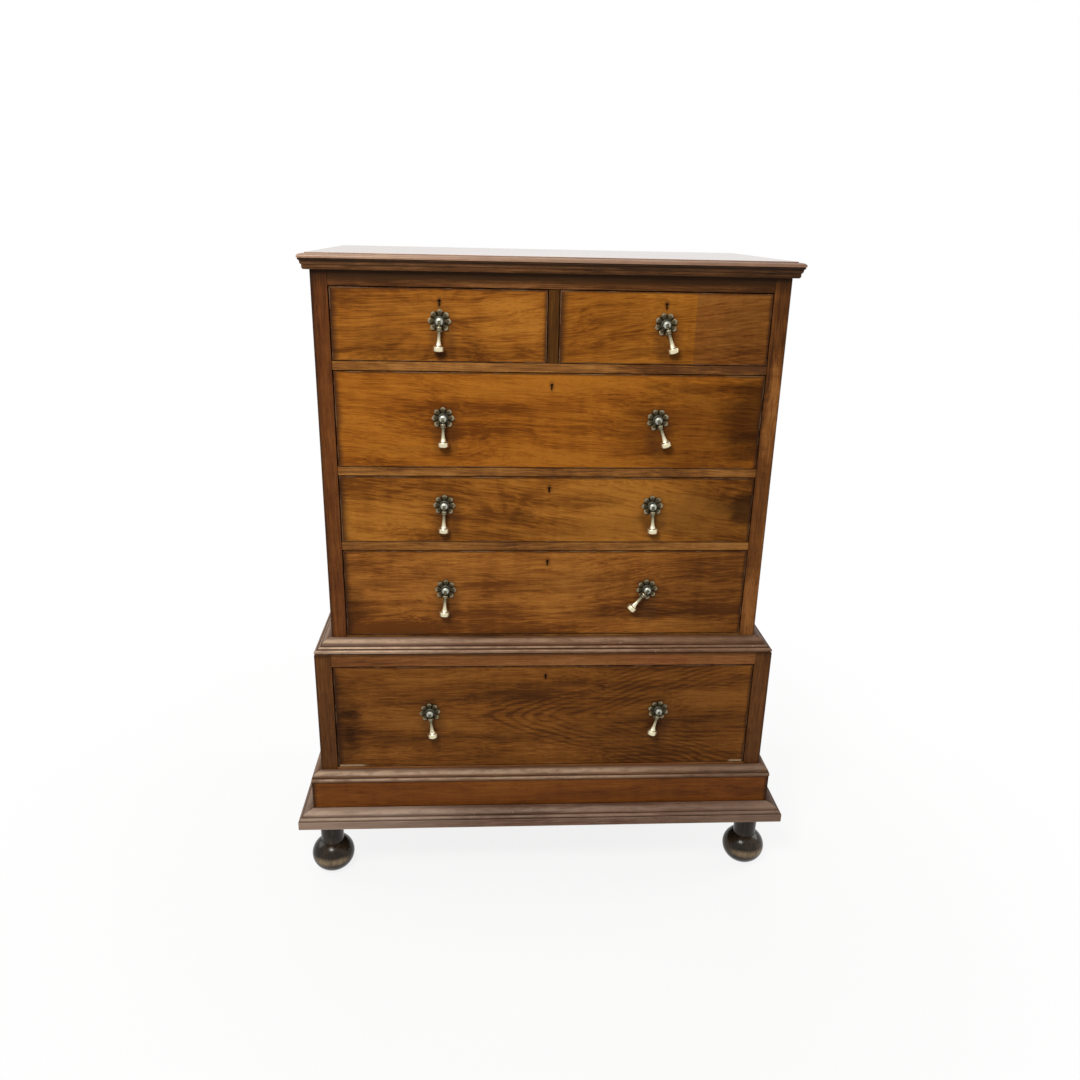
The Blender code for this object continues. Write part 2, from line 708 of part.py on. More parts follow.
def pendant_mesh():
    # A turned drop under an eye that goes round the pin
    shank = SHANK_DIAMETER / 2
    collar = COLLAR_DIAMETER / 2
    neck = NECK_DIAMETER / 2
    bulb = BULB_DIAMETER / 2
    collar_end = COLLAR_TOP + COLLAR_HEIGHT
    bulb_top = PENDANT_LENGTH - BULB_HEIGHT
    flare_top = bulb_top - FLARE_HEIGHT
    points = [(0.0, 0.0), (shank, 0.0), (shank, -COLLAR_TOP), (collar, -COLLAR_TOP)]
    points += rounded((collar, -COLLAR_TOP), (neck, -collar_end))
    points.append((neck, -flare_top))
    shoulder = bulb - BULB_ROUND
    flare = rounded((shoulder, -bulb_top), (neck, -flare_top), hollow=True)
    points += reversed(flare[:-1])
    points.append((shoulder, -bulb_top))
    points.append((bulb, -bulb_top - BULB_ROUND))
    points += rounded((bulb, -PENDANT_LENGTH + BULB_ROUND), (shoulder, -PENDANT_LENGTH))
    points.append((0.0, -PENDANT_LENGTH))
    drop = add_cutter("pendant_turning", profile_mesh("pendant_turning", points))
    turn(drop, TURNED_SIDES)
    along_x = (0.0, math.pi / 2, 0.0)
    eye = add_cutter("eye", cylinder_mesh("eye", EYE_DIAMETER, EYE_WIDTH, TURNED_SIDES), rotation=along_x)
    combine(drop, "UNION", [eye])
    hole_mesh = cylinder_mesh("eye_hole", PIN_DIAMETER + 2 * GAP, 2 * EYE_WIDTH, TURNED_SIDES)
    hole = add_cutter("eye_hole", hole_mesh, rotation=along_x)
    combine(drop, "DIFFERENCE", [hole])
    return finished_mesh("pendant", drop)


def finished_mesh(name, shape):
    # The shape with its modifiers applied, turned as its object is, ready to be shared
    bm = bmesh.new()
    bm.from_mesh(evaluated_mesh(shape))
    bm.transform(shape.matrix_world)
    bmesh.ops.remove_doubles(bm, verts=bm.verts, dist=WELD)
    mesh = mesh_from(bm, name)
    groups = [modifier.collection for modifier in shape.modifiers if modifier.type == "BOOLEAN"]
    for spent in [shape, *(tool for group in groups for tool in group.objects)]:
        bpy.data.objects.remove(spent, do_unlink=True)
    for group in groups:
        bpy.data.collections.remove(group)
    mesh.shade_smooth()
    mesh.set_sharp_from_angle(angle=SMOOTH_ANGLE)
    return mesh


def keyhole_loop():
    radius = KEYHOLE_DIAMETER / 2
    slot = KEYHOLE_SLOT / 2
    start = math.asin(slot / radius)
    foot = radius - KEYHOLE_LENGTH
    loop = [(slot, foot)]
    arc_steps = TURNED_SIDES
    for step in range(arc_steps + 1):
        angle = start + (2 * math.pi - 2 * start) * step / arc_steps
        loop.append((radius * math.sin(angle), -radius * math.cos(angle)))
    loop.append((-slot, foot))
    return loop


def build_drawer(name, row, low_x, high_x, low_z, high_z, frame_front, handles):
    face = frame_front + DRAWER_RECESS
    at = ((low_x + high_x) / 2, face, (low_z + high_z) / 2)
    runner = add_empty(f"slide_{name}", at)
    left = low_x + FRONT_GAP
    right = high_x - FRONT_GAP
    front = add_board(
        f"drawer_front_{name}",
        (left, face, low_z + FRONT_LIFT),
        (right, face + FRONT_THICKNESS, high_z - FRONT_GAP),
        front_wood,
        runner,
        at,
    )

    box_front = face + FRONT_THICKNESS + GAP
    rear = back_front - BACK_ROOM
    low = (left + BOX_INSET, box_front, low_z + GAP)
    high = (right - BOX_INSET, rear, high_z - BOX_DROP)
    box = add_board(f"drawer_box_{name}", low, high, inner_wood, runner, at)
    under = low[2] + BOTTOM_RAISE
    floor = under + BOTTOM_THICKNESS
    inner_left = low[0] + BOX_WALL
    inner_right = high[0] - BOX_WALL
    spare = BOX_WALL
    cuts = (
        ("inside", (inner_left, low[1] - spare, floor), (inner_right, rear - BOX_WALL, high[2] + spare)),
        ("under", (inner_left, low[1] - spare, low[2] - spare), (inner_right, rear + spare, under)),
        (
            "back_edge",
            (inner_left, rear - 2 * BOX_WALL, high[2] - BOX_BACK_DROP),
            (inner_right, rear + spare, high[2] + spare),
        ),
    )
    blocks = [add_block(f"{cut}_{name}", cut_low, cut_high, runner, at) for cut, cut_low, cut_high in cuts]
    combine(box, "DIFFERENCE", blocks)

    upright = (math.pi / 2, 0.0, 0.0)
    keyhole = outline_mesh(f"keyhole_{name}", [keyhole_loop()], 4 * FRONT_THICKNESS)
    key_at = (0.0, 0.0, high_z - KEYHOLE_DROP - at[2])
    holes = [add_cutter(f"keyhole_{name}", keyhole, key_at, upright, runner)]
    for handle, x in handles:
        place = (x - at[0], 0.0, HANDLE_RISE[row])
        bore = cylinder_mesh(f"bore_{handle}", STEM_DIAMETER + 2 * GAP, 4 * FRONT_THICKNESS, TURNED_SIDES)
        holes.append(add_cutter(f"bore_{handle}", bore, place, upright, runner))
        lean = (0.0, -math.radians(HANDLE_TILT[handle]), 0.0)
        post = add_empty(f"post_{handle}", place, runner, lean)
        add_part(f"backplate_{handle}", backplate, rose_metal, parent=post)
        add_part(f"pendant_{handle}", pendant, pendant_metal, (0.0, -pin_out, -PIN_DROP), parent=post)
    combine(front, "DIFFERENCE", holes)


def build_drawers():
    half_divider = DIVIDER_THICKNESS / 2
    short_middle = (half_divider + case_opening_half) / 2
    for side, sign in SIDES:
        low_x, high_x = across(sign, half_divider, case_opening_half)
        name = f"top_{side}"
        handles = ((name, sign * short_middle),)
        build_drawer(name, "top", low_x, high_x, short_bottom, short_top, case_front, handles)
    rows = (
        ("upper", upper_bottom, upper_top, case_opening_half, case_front, HANDLE_SPREAD),
        ("middle", middle_bottom, middle_top, case_opening_half, case_front, HANDLE_SPREAD),
        ("lower", case_sill, lower_top, case_opening_half, case_front, HANDLE_SPREAD),
        ("stand", stand_sill, stand_opening_top, stand_opening_half, stand_front, STAND_HANDLE_SPREAD),
    )
    for row, low_z, high_z, half, frame_front, spread in rows:
        handles = ((f"{row}_left", -spread / 2), (f"{row}_right", spread / 2))
        build_drawer(row, row, -half, half, low_z, high_z, frame_front, handles)


backplate = backplate_mesh()
pendant = pendant_mesh()
build_base()
build_plinth()
build_stand()
build_case()
build_drawers()
print(f"chest on stand: {2 * base_half:.3f} x {total_depth:.3f} x {top_surface:.3f} m")
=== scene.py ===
import json
import math

import bmesh
import bpy
from mathutils import Matrix, Vector, noise


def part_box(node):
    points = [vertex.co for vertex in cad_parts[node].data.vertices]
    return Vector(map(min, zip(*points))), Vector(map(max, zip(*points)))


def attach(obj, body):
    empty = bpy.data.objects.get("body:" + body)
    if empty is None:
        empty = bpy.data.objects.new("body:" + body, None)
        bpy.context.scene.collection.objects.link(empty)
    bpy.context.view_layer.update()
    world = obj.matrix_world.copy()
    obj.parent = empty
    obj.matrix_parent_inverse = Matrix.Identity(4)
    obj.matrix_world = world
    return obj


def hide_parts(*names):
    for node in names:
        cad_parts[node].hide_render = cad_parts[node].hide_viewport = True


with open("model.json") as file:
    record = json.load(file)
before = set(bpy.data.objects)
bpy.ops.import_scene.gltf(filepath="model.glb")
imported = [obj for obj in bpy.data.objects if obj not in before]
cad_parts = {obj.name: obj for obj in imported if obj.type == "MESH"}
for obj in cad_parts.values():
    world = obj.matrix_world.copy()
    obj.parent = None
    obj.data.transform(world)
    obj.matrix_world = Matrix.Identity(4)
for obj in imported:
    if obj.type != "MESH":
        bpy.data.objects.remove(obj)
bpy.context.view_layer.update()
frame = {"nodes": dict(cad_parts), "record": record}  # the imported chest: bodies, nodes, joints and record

scene = bpy.context.scene
scene.view_settings.view_transform = "Standard"
nodes = frame["nodes"]
print("frame loaded,", len(nodes), "nodes")

# Faces and lines of the carcase that the looks are set out from
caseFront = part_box("upper_stile_left")[0].y
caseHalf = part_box("upper_stile_right")[1].x
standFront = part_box("stand_face_frame")[0].y
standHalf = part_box("stand_face_frame")[1].x
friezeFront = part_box("plinth_frieze")[0].y
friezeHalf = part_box("plinth_frieze")[1].x
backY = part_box("upper_back")[1].y
hair = 0.0003  # room between neighbouring pieces
drawerNames = ("top_left", "top_right", "upper", "middle", "lower", "stand")


def addObject(name, data):
    made = bpy.data.objects.new(name, data)
    scene.collection.objects.link(made)
    return made


# Camera and lamps

cameraSet = {
    "place": (-0.127, -1.934, 1.39),
    "yaw": 3.64,  # degrees to the right
    "pitch": 19.43,  # degrees down
    "roll": 1.28,
    "lens": 30.0,
    "sensor": 36.0,
    "near": 0.05,
}


def makeCamera(setting):
    yaw, pitch, roll = (math.radians(setting[key]) for key in ("yaw", "pitch", "roll"))
    data = bpy.data.cameras.new("camera")
    data.lens = setting["lens"]
    data.sensor_width = setting["sensor"]
    data.clip_start = setting["near"]
    camera = addObject("camera", data)
    aim = Matrix.Rotation(-yaw, 4, "Z") @ Matrix.Rotation(math.pi / 2 - pitch, 4, "X")
    camera.matrix_world = Matrix.Translation(setting["place"]) @ aim @ Matrix.Rotation(roll, 4, "Z")
    scene.camera = camera


lampSet = {
    # name: place, aim, size across and up, watts, colour
    "keyLamp": ((-0.75, -1.75, 2.5), (0.0, -0.2, 0.8), (0.8, 0.6), 46.0, (1.0, 0.98, 0.95)),
    "rightLamp": ((2.6, 0.5, 1.7), (0.0, 0.0, 0.6), (1.4, 1.4), 30.0, (1.0, 0.98, 0.96)),
    "leftLamp": ((-2.6, 0.6, 1.7), (0.0, 0.0, 0.6), (1.4, 1.4), 20.0, (1.0, 0.98, 0.96)),
    "backLamp": ((0.0, 2.7, 2.0), (0.0, 0.0, 0.6), (3.0, 1.4), 56.0, (1.0, 0.98, 0.96)),
}


def makeLamp(name, place, aim, size, watts, colour):
    data = bpy.data.lights.new(name, "AREA")
    data.shape = "RECTANGLE"
    data.size, data.size_y = size
    data.energy = watts
    data.color = colour
    lamp = addObject(name, data)
    lamp.location = place
    lamp.visible_glossy = place[1] < 1.0  # the lamp behind leaves no streak on the top
    lamp.rotation_euler = (Vector(aim) - Vector(place)).to_track_quat("-Z", "Y").to_euler()


# Node wiring: short calls that place a node, set or link its inputs and give its output

class Wires:
    def __init__(self, tree):
        self.tree = tree

    def put(self, socket, value):
        if isinstance(value, bpy.types.NodeSocket):
            self.tree.links.new(value, socket)
        elif socket.type == "RGBA" and len(value) == 3:
            socket.default_value = (*value, 1.0)
        else:
            socket.default_value = value

    def place(self, kind, settings=(), *values, **inputs):
        node = self.tree.nodes.new("ShaderNode" + kind)
        for key, value in dict(settings).items():
            setattr(node, key, value)
        for socket, value in zip(node.inputs, values):
            self.put(socket, value)
        for key, value in inputs.items():
            self.put(node.inputs[key], value)
        return node

    def group(self, tree, **inputs):
        return self.place("Group", {"node_tree": tree}, **inputs).outputs

    def sum(self, operation, *values, clamp=False):
        return self.place("Math", {"operation": operation, "use_clamp": clamp}, *values).outputs[0]

    def times(self, first, *rest):
        for value in rest:
            first = self.sum("MULTIPLY", first, value)
        return first

    def most(self, first, *rest):
        for value in rest:
            first = self.sum("MAXIMUM", first, value)
        return first

    def add(self, first, second, share=1.0):
        return self.sum("MULTIPLY_ADD", second, share, first)

    def vector(self, operation, *values):
        outputs = self.place("VectorMath", {"operation": operation}, *values).outputs
        return outputs["Value" if operation == "LENGTH" else "Vector"]

    def ease(self, value, low, high, start=0.0, end=1.0):
        settings = {"interpolation_type": "SMOOTHSTEP"}
        return self.place("MapRange", settings, value, low, high, start, end).outputs[0]

    def fall(self, value, low, high):
        return self.ease(value, low, high, 1.0, 0.0)

    def cloud(self, vector, run, across, detail=2.0, roughness=0.5):
        spot = self.vector("MULTIPLY", vector, (run, across, across))
        return self.place("TexNoise", Vector=spot, Scale=1.0, Detail=detail, Roughness=roughness).outputs[0]

    def drift(self, *cloud):  # a cloud about zero
        return self.sum("SUBTRACT", self.cloud(*cloud), 0.5)

    def mix(self, factor, first, second, blend="MIX"):
        node = self.place("Mix", {"data_type": "RGBA", "blend_type": blend})
        for index, value in ((0, factor), (6, first), (7, second)):
            self.put(node.inputs[index], value)
        return node.outputs[2]

    def coat(self, colour, mask, strength, tint, blend="MIX"):
        return self.mix(self.times(mask, strength), colour, tint, blend)

    def split(self, vector):
        return self.place("SeparateXYZ", Vector=vector).outputs

    def join(self, *values):
        return self.place("CombineXYZ", (), *values).outputs[0]

    def normal(self):
        return self.split(self.place("NewGeometry").outputs["Normal"])

    def proud(self):  # how far a point of a piece stands out to be rubbed, or lies in to gather dirt and painted shade
        return self.place("Attribute", {"attribute_name": "proud"}).outputs["Fac"]

    def bump(self, shader, height, strength, distance):
        node = self.place("Bump", Strength=strength, Distance=distance, Height=height)
        self.put(shader.inputs["Normal"], node.outputs[0])


# Effects that several finishes share

colourWords = ("Color", "Dark", "Mid", "Light", "Pale", "Grime")
vectorWords = ("Along", "Tip", "Centre", "Spread", "Low", "High")


def newSocket(tree, word, way):
    kind = "Color" if word in colourWords else "Vector" if word in vectorWords else "Float"
    tree.interface.new_socket(name=word, in_out=way, socket_type="NodeSocket" + kind)


def newGroup(name, words):
    # Gives the wires of a new group, then its inputs in order
    tree = bpy.data.node_groups.new(name, "ShaderNodeTree")
    for word in words.split():
        newSocket(tree, word, "INPUT")
    outputs = tree.nodes.new("NodeGroupInput").outputs
    return [Wires(tree)] + [outputs[word] for word in words.split()]


def endGroup(w, **results):
    for word in results:
        newSocket(w.tree, word, "OUTPUT")
    inputs = w.tree.nodes.new("NodeGroupOutput").inputs
    for word, value in results.items():
        w.put(inputs[word], value)
    return w.tree


def makeGrain():
    # Long figure, streaks, pores and a ripple across the grain, which runs along X of Along
    words = "Along Dark Mid Light Figure Streaks Pores Wander Extra"
    w, along, dark, middle, light, figure, streaks, pores, wander, extra = newGroup("grain", words)
    shift = w.times(w.drift(along, 3.0, 8.0), wander)
    bent = w.vector("ADD", along, w.join(0.0, shift, shift))
    fine = w.drift(bent, 18.0, 600.0, 2.0, 0.6)
    tone = w.add(0.5, w.drift(bent, 2.2, 13.0), w.times(figure, 1.3))  # broad bands
    tone = w.add(tone, w.drift(bent, 9.0, 55.0, 3.0, 0.6), w.times(figure, 0.42))  # mottle
    tone = w.add(tone, w.drift(bent, 4.5, 190.0, 3.0, 0.6), w.times(streaks, 0.75))
    tone = w.add(tone, fine, streaks)
    tone = w.add(tone, w.drift(along, 46.0, 11.0), w.times(figure, 0.25))  # ripple
    tone = w.add(tone, extra)
    colour = w.mix(w.ease(tone, 0.1, 0.54), dark, middle)
    colour = w.mix(w.ease(tone, 0.46, 0.9), colour, light)
    pitted = w.times(w.ease(w.cloud(bent, 90.0, 1500.0, 1.0), 0.58, 0.7), pores)
    height = w.add(w.add(0.5, fine, 0.6), pitted, -0.6)
    return endGroup(w, Color=w.mix(pitted, colour, dark), Height=height)


def makeFlame():
    # Nested dark tongues that open along X from a tip
    w, along, tip, slope, step, length = newGroup("flame", "Along Tip Slope Step Length")
    x, y, z = w.split(w.vector("SUBTRACT", along, tip))
    blunt = w.sum("SQRT", w.add(0.00012, z, z))
    reach = w.sum("SUBTRACT", x, w.times(blunt, slope))
    reach = w.add(reach, w.drift(along, 6.0, 11.0, 3.0), 0.11)
    turns = w.times(w.sum("DIVIDE", reach, step), 2 * math.pi)
    band = w.ease(w.sum("SINE", turns), -0.4, 1.0)
    inside = w.times(w.ease(reach, -0.06, 0.02), w.fall(w.sum("DIVIDE", reach, length), 0.45, 1.0))
    faint = w.ease(w.cloud(along, 4.0, 14.0), 0.36, 0.62, -0.25, -1.0)
    return endGroup(w, Tone=w.times(band, inside, faint))


def makeFan():
    # Dark rays that spread from a point, as where a branch left the trunk
    w, along, centre, count, reach = newGroup("fan", "Along Centre Count Reach")
    away = w.vector("SUBTRACT", along, centre)
    x, y, z = w.split(away)
    angle = w.add(w.sum("ARCTAN2", z, x), w.drift(along, 9.0, 14.0, 3.0, 0.55), 0.9)
    band = w.ease(w.sum("SINE", w.times(angle, count)), -0.1, 1.0)
    far = w.sum("DIVIDE", w.vector("LENGTH", away), reach)
    inside = w.times(w.ease(far, 0.08, 0.3), w.fall(far, 0.5, 1.0))
    return endGroup(w, Tone=w.times(band, inside, -1.0))


def makePatch():
    # A soft ragged stain round a centre
    w, along, centre, spread, rag = newGroup("patch", "Along Centre Spread Rag")
    away = w.vector("DIVIDE", w.vector("SUBTRACT", along, centre), spread)
    far = w.add(w.vector("LENGTH", away), w.drift(along, 14.0, 45.0, 3.0, 0.6), rag)
    return endGroup(w, Mask=w.fall(far, 0.45, 1.1))


def makeRim():
    # Dirt and painted shade along the four edges of a front, wider at the left and top; a thin worn arris
    w, along, low, high, left, right, top, bottom = newGroup("rim", "Along Low High Left Right Top Bottom")
    rag = w.cloud(along, 22.0, 22.0, 3.0, 0.65)
    uneven = w.add(0.25, rag, 1.5)
    x, y, z = w.split(w.vector("SUBTRACT", along, low))
    farX, farY, farZ = w.split(w.vector("SUBTRACT", high, along))
    dirt = arris = 0.0
    for room, width in ((x, left), (farX, right), (farZ, top), (z, bottom)):
        dirt = w.most(dirt, w.fall(room, 0.0, w.times(width, uneven)))
        arris = w.most(arris, w.fall(room, 0.0006, 0.002))
    face = w.fall(y, 0.0008, 0.003)
    return endGroup(w, Dirt=w.times(dirt, face), Arris=w.times(arris, face, w.ease(rag, 0.45, 0.62)))


def makeDust():
    # Dust and old wax with painted sheen on faces that look up; thinner bloom and sheen on upright ones
    w, along, amount, bloom = newGroup("dust", "Along Amount Bloom")
    lift = w.normal()[2]
    patchy = w.ease(w.cloud(along, 7.0, 60.0, 4.0, 0.65), 0.3, 0.68, 0.62, 1.0)
    onTop = w.times(w.ease(lift, 0.1, 0.8), amount)
    onSide = w.times(w.fall(w.sum("ABSOLUTE", lift), 0.0, 0.7), bloom)
    return endGroup(w, Mask=w.times(patchy, w.most(onTop, onSide)))


def makeWorn():
    # Pale wear, on moulding noses also a painted highlight, on what stands proud; dirt and painted shade in
    # what lies deep
    words = "Color Along Proud Pale Grime Wear Dirt"
    w, colour, along, proud, pale, grime, wear, dirt = newGroup("worn", words)
    patchy = w.ease(w.cloud(along, 28.0, 90.0, 4.0, 0.65), 0.32, 0.62, 0.35, 1.0)
    colour = w.mix(w.times(w.ease(proud, 0.25, 1.0), patchy, wear), colour, pale)
    deep = w.ease(w.times(proud, -1.0), 0.0, 1.0)
    return endGroup(w, Color=w.coat(colour, deep, dirt, grime))


def makeDovetails():
    # Tails of the drawer sides let into the ends of a front, seen on its end faces
    w, along, face, lap, pitch, start = newGroup("dovetails", "Along Face Lap Pitch Start")
    x, y, z = w.split(along)
    depth = w.sum("SUBTRACT", y, w.add(face, lap))
    place = w.sum("FRACT", w.sum("DIVIDE", w.sum("SUBTRACT", z, start), pitch))
    middle = w.sum("ABSOLUTE", w.sum("SUBTRACT", place, 0.5))
    tail = w.sum("LESS_THAN", middle, w.add(0.4, depth, -9.0))
    ends = w.sum("GREATER_THAN", w.sum("ABSOLUTE", w.normal()[0]), 0.9)
    return endGroup(w, Mask=w.times(tail, w.sum("GREATER_THAN", depth, 0.0), ends))


def makeSpecks():
    # Sparse pale dots of old paint and plaster
    w, along, share = newGroup("specks", "Along Share")
    cells = w.place("TexVoronoi", Vector=along, Scale=95.0).outputs
    chosen = w.sum("LESS_THAN", w.split(cells["Color"])[0], share)
    return endGroup(w, Mask=w.times(w.fall(cells["Distance"], 0.06, 0.13), chosen))


grainGroup = makeGrain()
flameGroup = makeFlame()
fanGroup = makeFan()
patchGroup = makePatch()
rimGroup = makeRim()
dustAndSheenGroup = makeDust()
wornGroup = makeWorn()
dovetailGroup = makeDovetails()
speckGroup = makeSpecks()
print("shared effects made")


# Steps that the finishes share

flatten = (1.0, 0.0, 1.0)  # places on the front, without their depth
dulling = 0.28  # what dust and dirt add to the roughness
poreDepth = 0.0006


def newMaterial(name):
    material = bpy.data.materials.new(name)
    material.use_nodes = True
    w = Wires(material.node_tree)
    return material, w, material.node_tree.nodes["Principled BSDF"], w.place("TexCoord").outputs["Object"]


def grainAlong(w, spot, axis):
    x, y, z = w.split(spot)
    return w.join(*{"X": (x, y, z), "Y": (y, x, z), "Z": (z, y, x)}[axis])


def layGrain(w, look, along, extra=0.0):
    dark, middle, light = look["tones"]
    return w.group(
        grainGroup, Along=along, Dark=dark, Mid=middle, Light=light, Figure=look["figure"],
        Streaks=look["streaks"], Pores=look["pores"], Wander=look["wander"], Extra=extra,
    )


def patchMask(w, flat, x, z, wide, tall, rag=1.3):
    spread = (wide, 1.0, tall)
    return w.group(patchGroup, Along=flat, Centre=(x, 0.0, z), Spread=spread, Rag=rag)["Mask"]


def addPales(w, flat, pales, extra):
    # Lighter patches of the board
    for *patch, strength in pales:
        extra = w.add(extra, patchMask(w, flat, *patch), strength)
    return extra


def setFinish(w, shader, look, colour, height, dull):
    # Colour, sheen that dust and wear take down, and the pores as a fine relief
    w.put(shader.inputs["Base Color"], colour)
    shader.inputs["Specular IOR Level"].default_value = look["shine"]
    w.put(shader.inputs["Roughness"], w.ease(dull, 0.0, 1.0, look["gloss"], look["gloss"] + dulling))
    w.bump(shader, height, look["relief"], poreDepth)


# Woods

paleWear = (0.42, 0.27, 0.16)
dustAndSheenColour = (0.37, 0.262, 0.195)
grimeAndShade = (0.014, 0.008, 0.005)
paintedShadeColour = (0.022, 0.0085, 0.0018)
speckColour = (0.6, 0.5, 0.41)
paintedLightRun = (-0.36, -0.06)  # painted light: from the lighter film at the left end, where the light falls, to the cleaner middle
paintedLightEnd = (0.26, 0.46)  # and to the right end
rubAndHighlightRun = (0.1, 0.38)  # the pale rubbed noses, partly a painted highlight, fade to the right
woodFinish = {
    "axis": "X", "figure": 1.0, "streaks": 1.0, "gloss": 0.38, "shine": 0.08, "relief": 0.25, "pores": 0.5,
    "wander": 0.03, "dust": 0.0, "bloom": 0.0, "wear": 0.5, "dirt": 0.92, "pale": paleWear, "lean": None,
    "shade": None, "edge": None, "pales": [], "specks": 0.0, "speckDepth": 0.7, "splice": None, "far": None,
    "polish": False,
}
woodLooks = {
    # tones: dark, middle and light; shade: start, end and strength of the painted shade under a moulding;
    # edge: the same for the outer edges, darkened with handling dirt and painted shade; lean: painted light,
    # the film at the left, in the middle and at the right; pales: x, z, width, height, strength;
    # splice: start, end and tint of a length let in
    "leftStile": {
        "axis": "Z", "shift": (3.1, 0.4, 0.2), "streaks": 0.9,
        "tones": ((0.05, 0.014, 0.0035), (0.124, 0.038, 0.0084), (0.205, 0.072, 0.017)),
        "edge": (0.4405, 0.4495, 0.6), "shade": (1.262, 1.298, 0.8),
    },
    "rightStile": {
        "axis": "Z", "shift": (7.3, 1.4, 0.9), "figure": 1.2, "streaks": 0.9,
        "tones": ((0.058, 0.018, 0.004), (0.155, 0.053, 0.0113), (0.3, 0.116, 0.028)),
        "edge": (0.4465, 0.45, 0.6), "shade": (1.262, 1.298, 0.8),
        "pales": [(0.438, 1.035, 0.02, 0.12, 0.36), (0.438, 0.66, 0.02, 0.09, 0.12)],
    },
    "side": {
        "axis": "Z", "shift": (1.7, 2.2, 4.1), "figure": 0.8, "streaks": 1.1,
        "tones": ((0.08, 0.024, 0.006), (0.175, 0.057, 0.012), (0.255, 0.09, 0.02)),
    },
    "rail": {
        "shift": (2.4, 0.7, 5.2), "figure": 1.6, "streaks": 1.4,
        "tones": ((0.08, 0.026, 0.0045), (0.208, 0.077, 0.0125), (0.34, 0.145, 0.031)),
    },
    "topRail": {
        "shift": (5.4, 1.7, 3.2), "streaks": 1.2, "shade": (1.2755, 1.29, 0.9),
        "tones": ((0.045, 0.015, 0.0035), (0.12, 0.043, 0.011), (0.23, 0.095, 0.029)),
    },
    "divider": {
        "axis": "Z", "shift": (4.4, 3.3, 1.2), "figure": 0.9,
        "tones": ((0.035, 0.012, 0.002), (0.072, 0.026, 0.0035), (0.12, 0.046, 0.007)),
    },
    "standStile": {
        "axis": "Z", "shift": (9.4, 0.6, 2.2), "figure": 0.9, "shade": (0.523, 0.535, 0.75),
        "tones": ((0.055, 0.018, 0.0045), (0.118, 0.042, 0.01), (0.18, 0.07, 0.019)),
        "edge": (0.4765, 0.4828, 0.55),
    },
    "standRail": {
        "shift": (6.2, 2.6, 0.4), "shade": (0.527, 0.535, 0.85), "splice": (0.178, 0.302, (1.0, 0.92, 0.97)),
        "tones": ((0.095, 0.031, 0.008), (0.195, 0.07, 0.018), (0.29, 0.117, 0.036)),
    },
    "frieze": {
        "shift": (8.2, 4.6, 1.4), "figure": 1.1, "streaks": 0.9, "wear": 0.3, "edge": (0.4905, 0.5005, 0.8),
        "tones": ((0.09, 0.025, 0.0035), (0.172, 0.05, 0.0068), (0.24, 0.079, 0.0115)),
    },
    "moulding": {
        "shift": (1.2, 6.6, 3.4), "figure": 0.9, "dust": 0.6, "bloom": 0.46, "wear": 1.15, "specks": 0.05,
        "tones": ((0.045, 0.016, 0.006), (0.122, 0.051, 0.022), (0.2, 0.097, 0.048)),
        "lean": (0.98, 0.12, 0.3), "gloss": 0.34, "pale": (0.66, 0.46, 0.31),
    },
    "baseMoulding": {
        "shift": (7.9, 3.6, 6.1), "streaks": 1.2, "dust": 0.8, "bloom": 0.75, "wear": 0.9, "specks": 0.07,
        "tones": ((0.06, 0.028, 0.016), (0.13, 0.066, 0.04), (0.225, 0.132, 0.088)),
        "lean": (1.2, 0.12, 0.5), "pale": (0.48, 0.355, 0.265),
    },
    "capMoulding": {
        "shift": (3.3, 5.1, 1.9), "figure": 0.9, "dust": 0.6, "bloom": 0.25, "wear": 1.4, "specks": 0.03,
        "tones": ((0.045, 0.016, 0.006), (0.128, 0.054, 0.022), (0.205, 0.098, 0.046)),
        "lean": (0.58, 0.4, 0.55), "gloss": 0.34, "pale": (0.6, 0.42, 0.28),
    },
    "cornice": {
        "shift": (4.9, 7.7, 0.3), "figure": 0.6, "dust": 0.1, "wear": 0.6,
        "tones": ((0.016, 0.006, 0.002), (0.082, 0.033, 0.0105), (0.165, 0.069, 0.025)),
    },
    "top": {
        "shift": (0.9, 8.2, 2.3), "streaks": 0.9, "dust": 0.2, "bloom": 0.05, "wear": 0.8,
        "tones": ((0.15, 0.068, 0.033), (0.235, 0.115, 0.06), (0.34, 0.19, 0.112)),
        "gloss": 0.1, "shine": 0.58, "relief": 0.0, "lean": (1.0, 0.7, 0.7), "polish": True,
    },
    "foot": {
        "axis": "Z", "shift": (5.9, 2.8, 2.0), "figure": 0.9, "streaks": 0.7, "wear": 0.9,
        "tones": ((0.005, 0.0032, 0.002), (0.019, 0.0123, 0.0076), (0.07, 0.047, 0.027)),
        "gloss": 0.19, "shine": 0.2, "relief": 0.1, "pale": (0.31, 0.222, 0.125),
    },
}
shadedSideCopy = {"axis": "Y", "shift": (6.8, 2.1, 9.4), "edge": None, "far": 0.8, "shine": 0.03}
sideShadeShare = {"film": 0.3, "tone": 0.7}
# Darker copies of the same boards along the sides, with less film and wear: painted shade
for name in ("frieze", "moulding", "capMoulding", "baseMoulding", "cornice"):
    look = woodLooks[name]
    thinner = {key: look[key] * sideShadeShare["film"] for key in ("dust", "bloom", "wear") if key in look}
    darker = [tuple(sideShadeShare["tone"] * part for part in tone) for tone in look["tones"]]
    woodLooks[name + "Side"] = {**look, **thinner, "tones": darker, **shadedSideCopy}


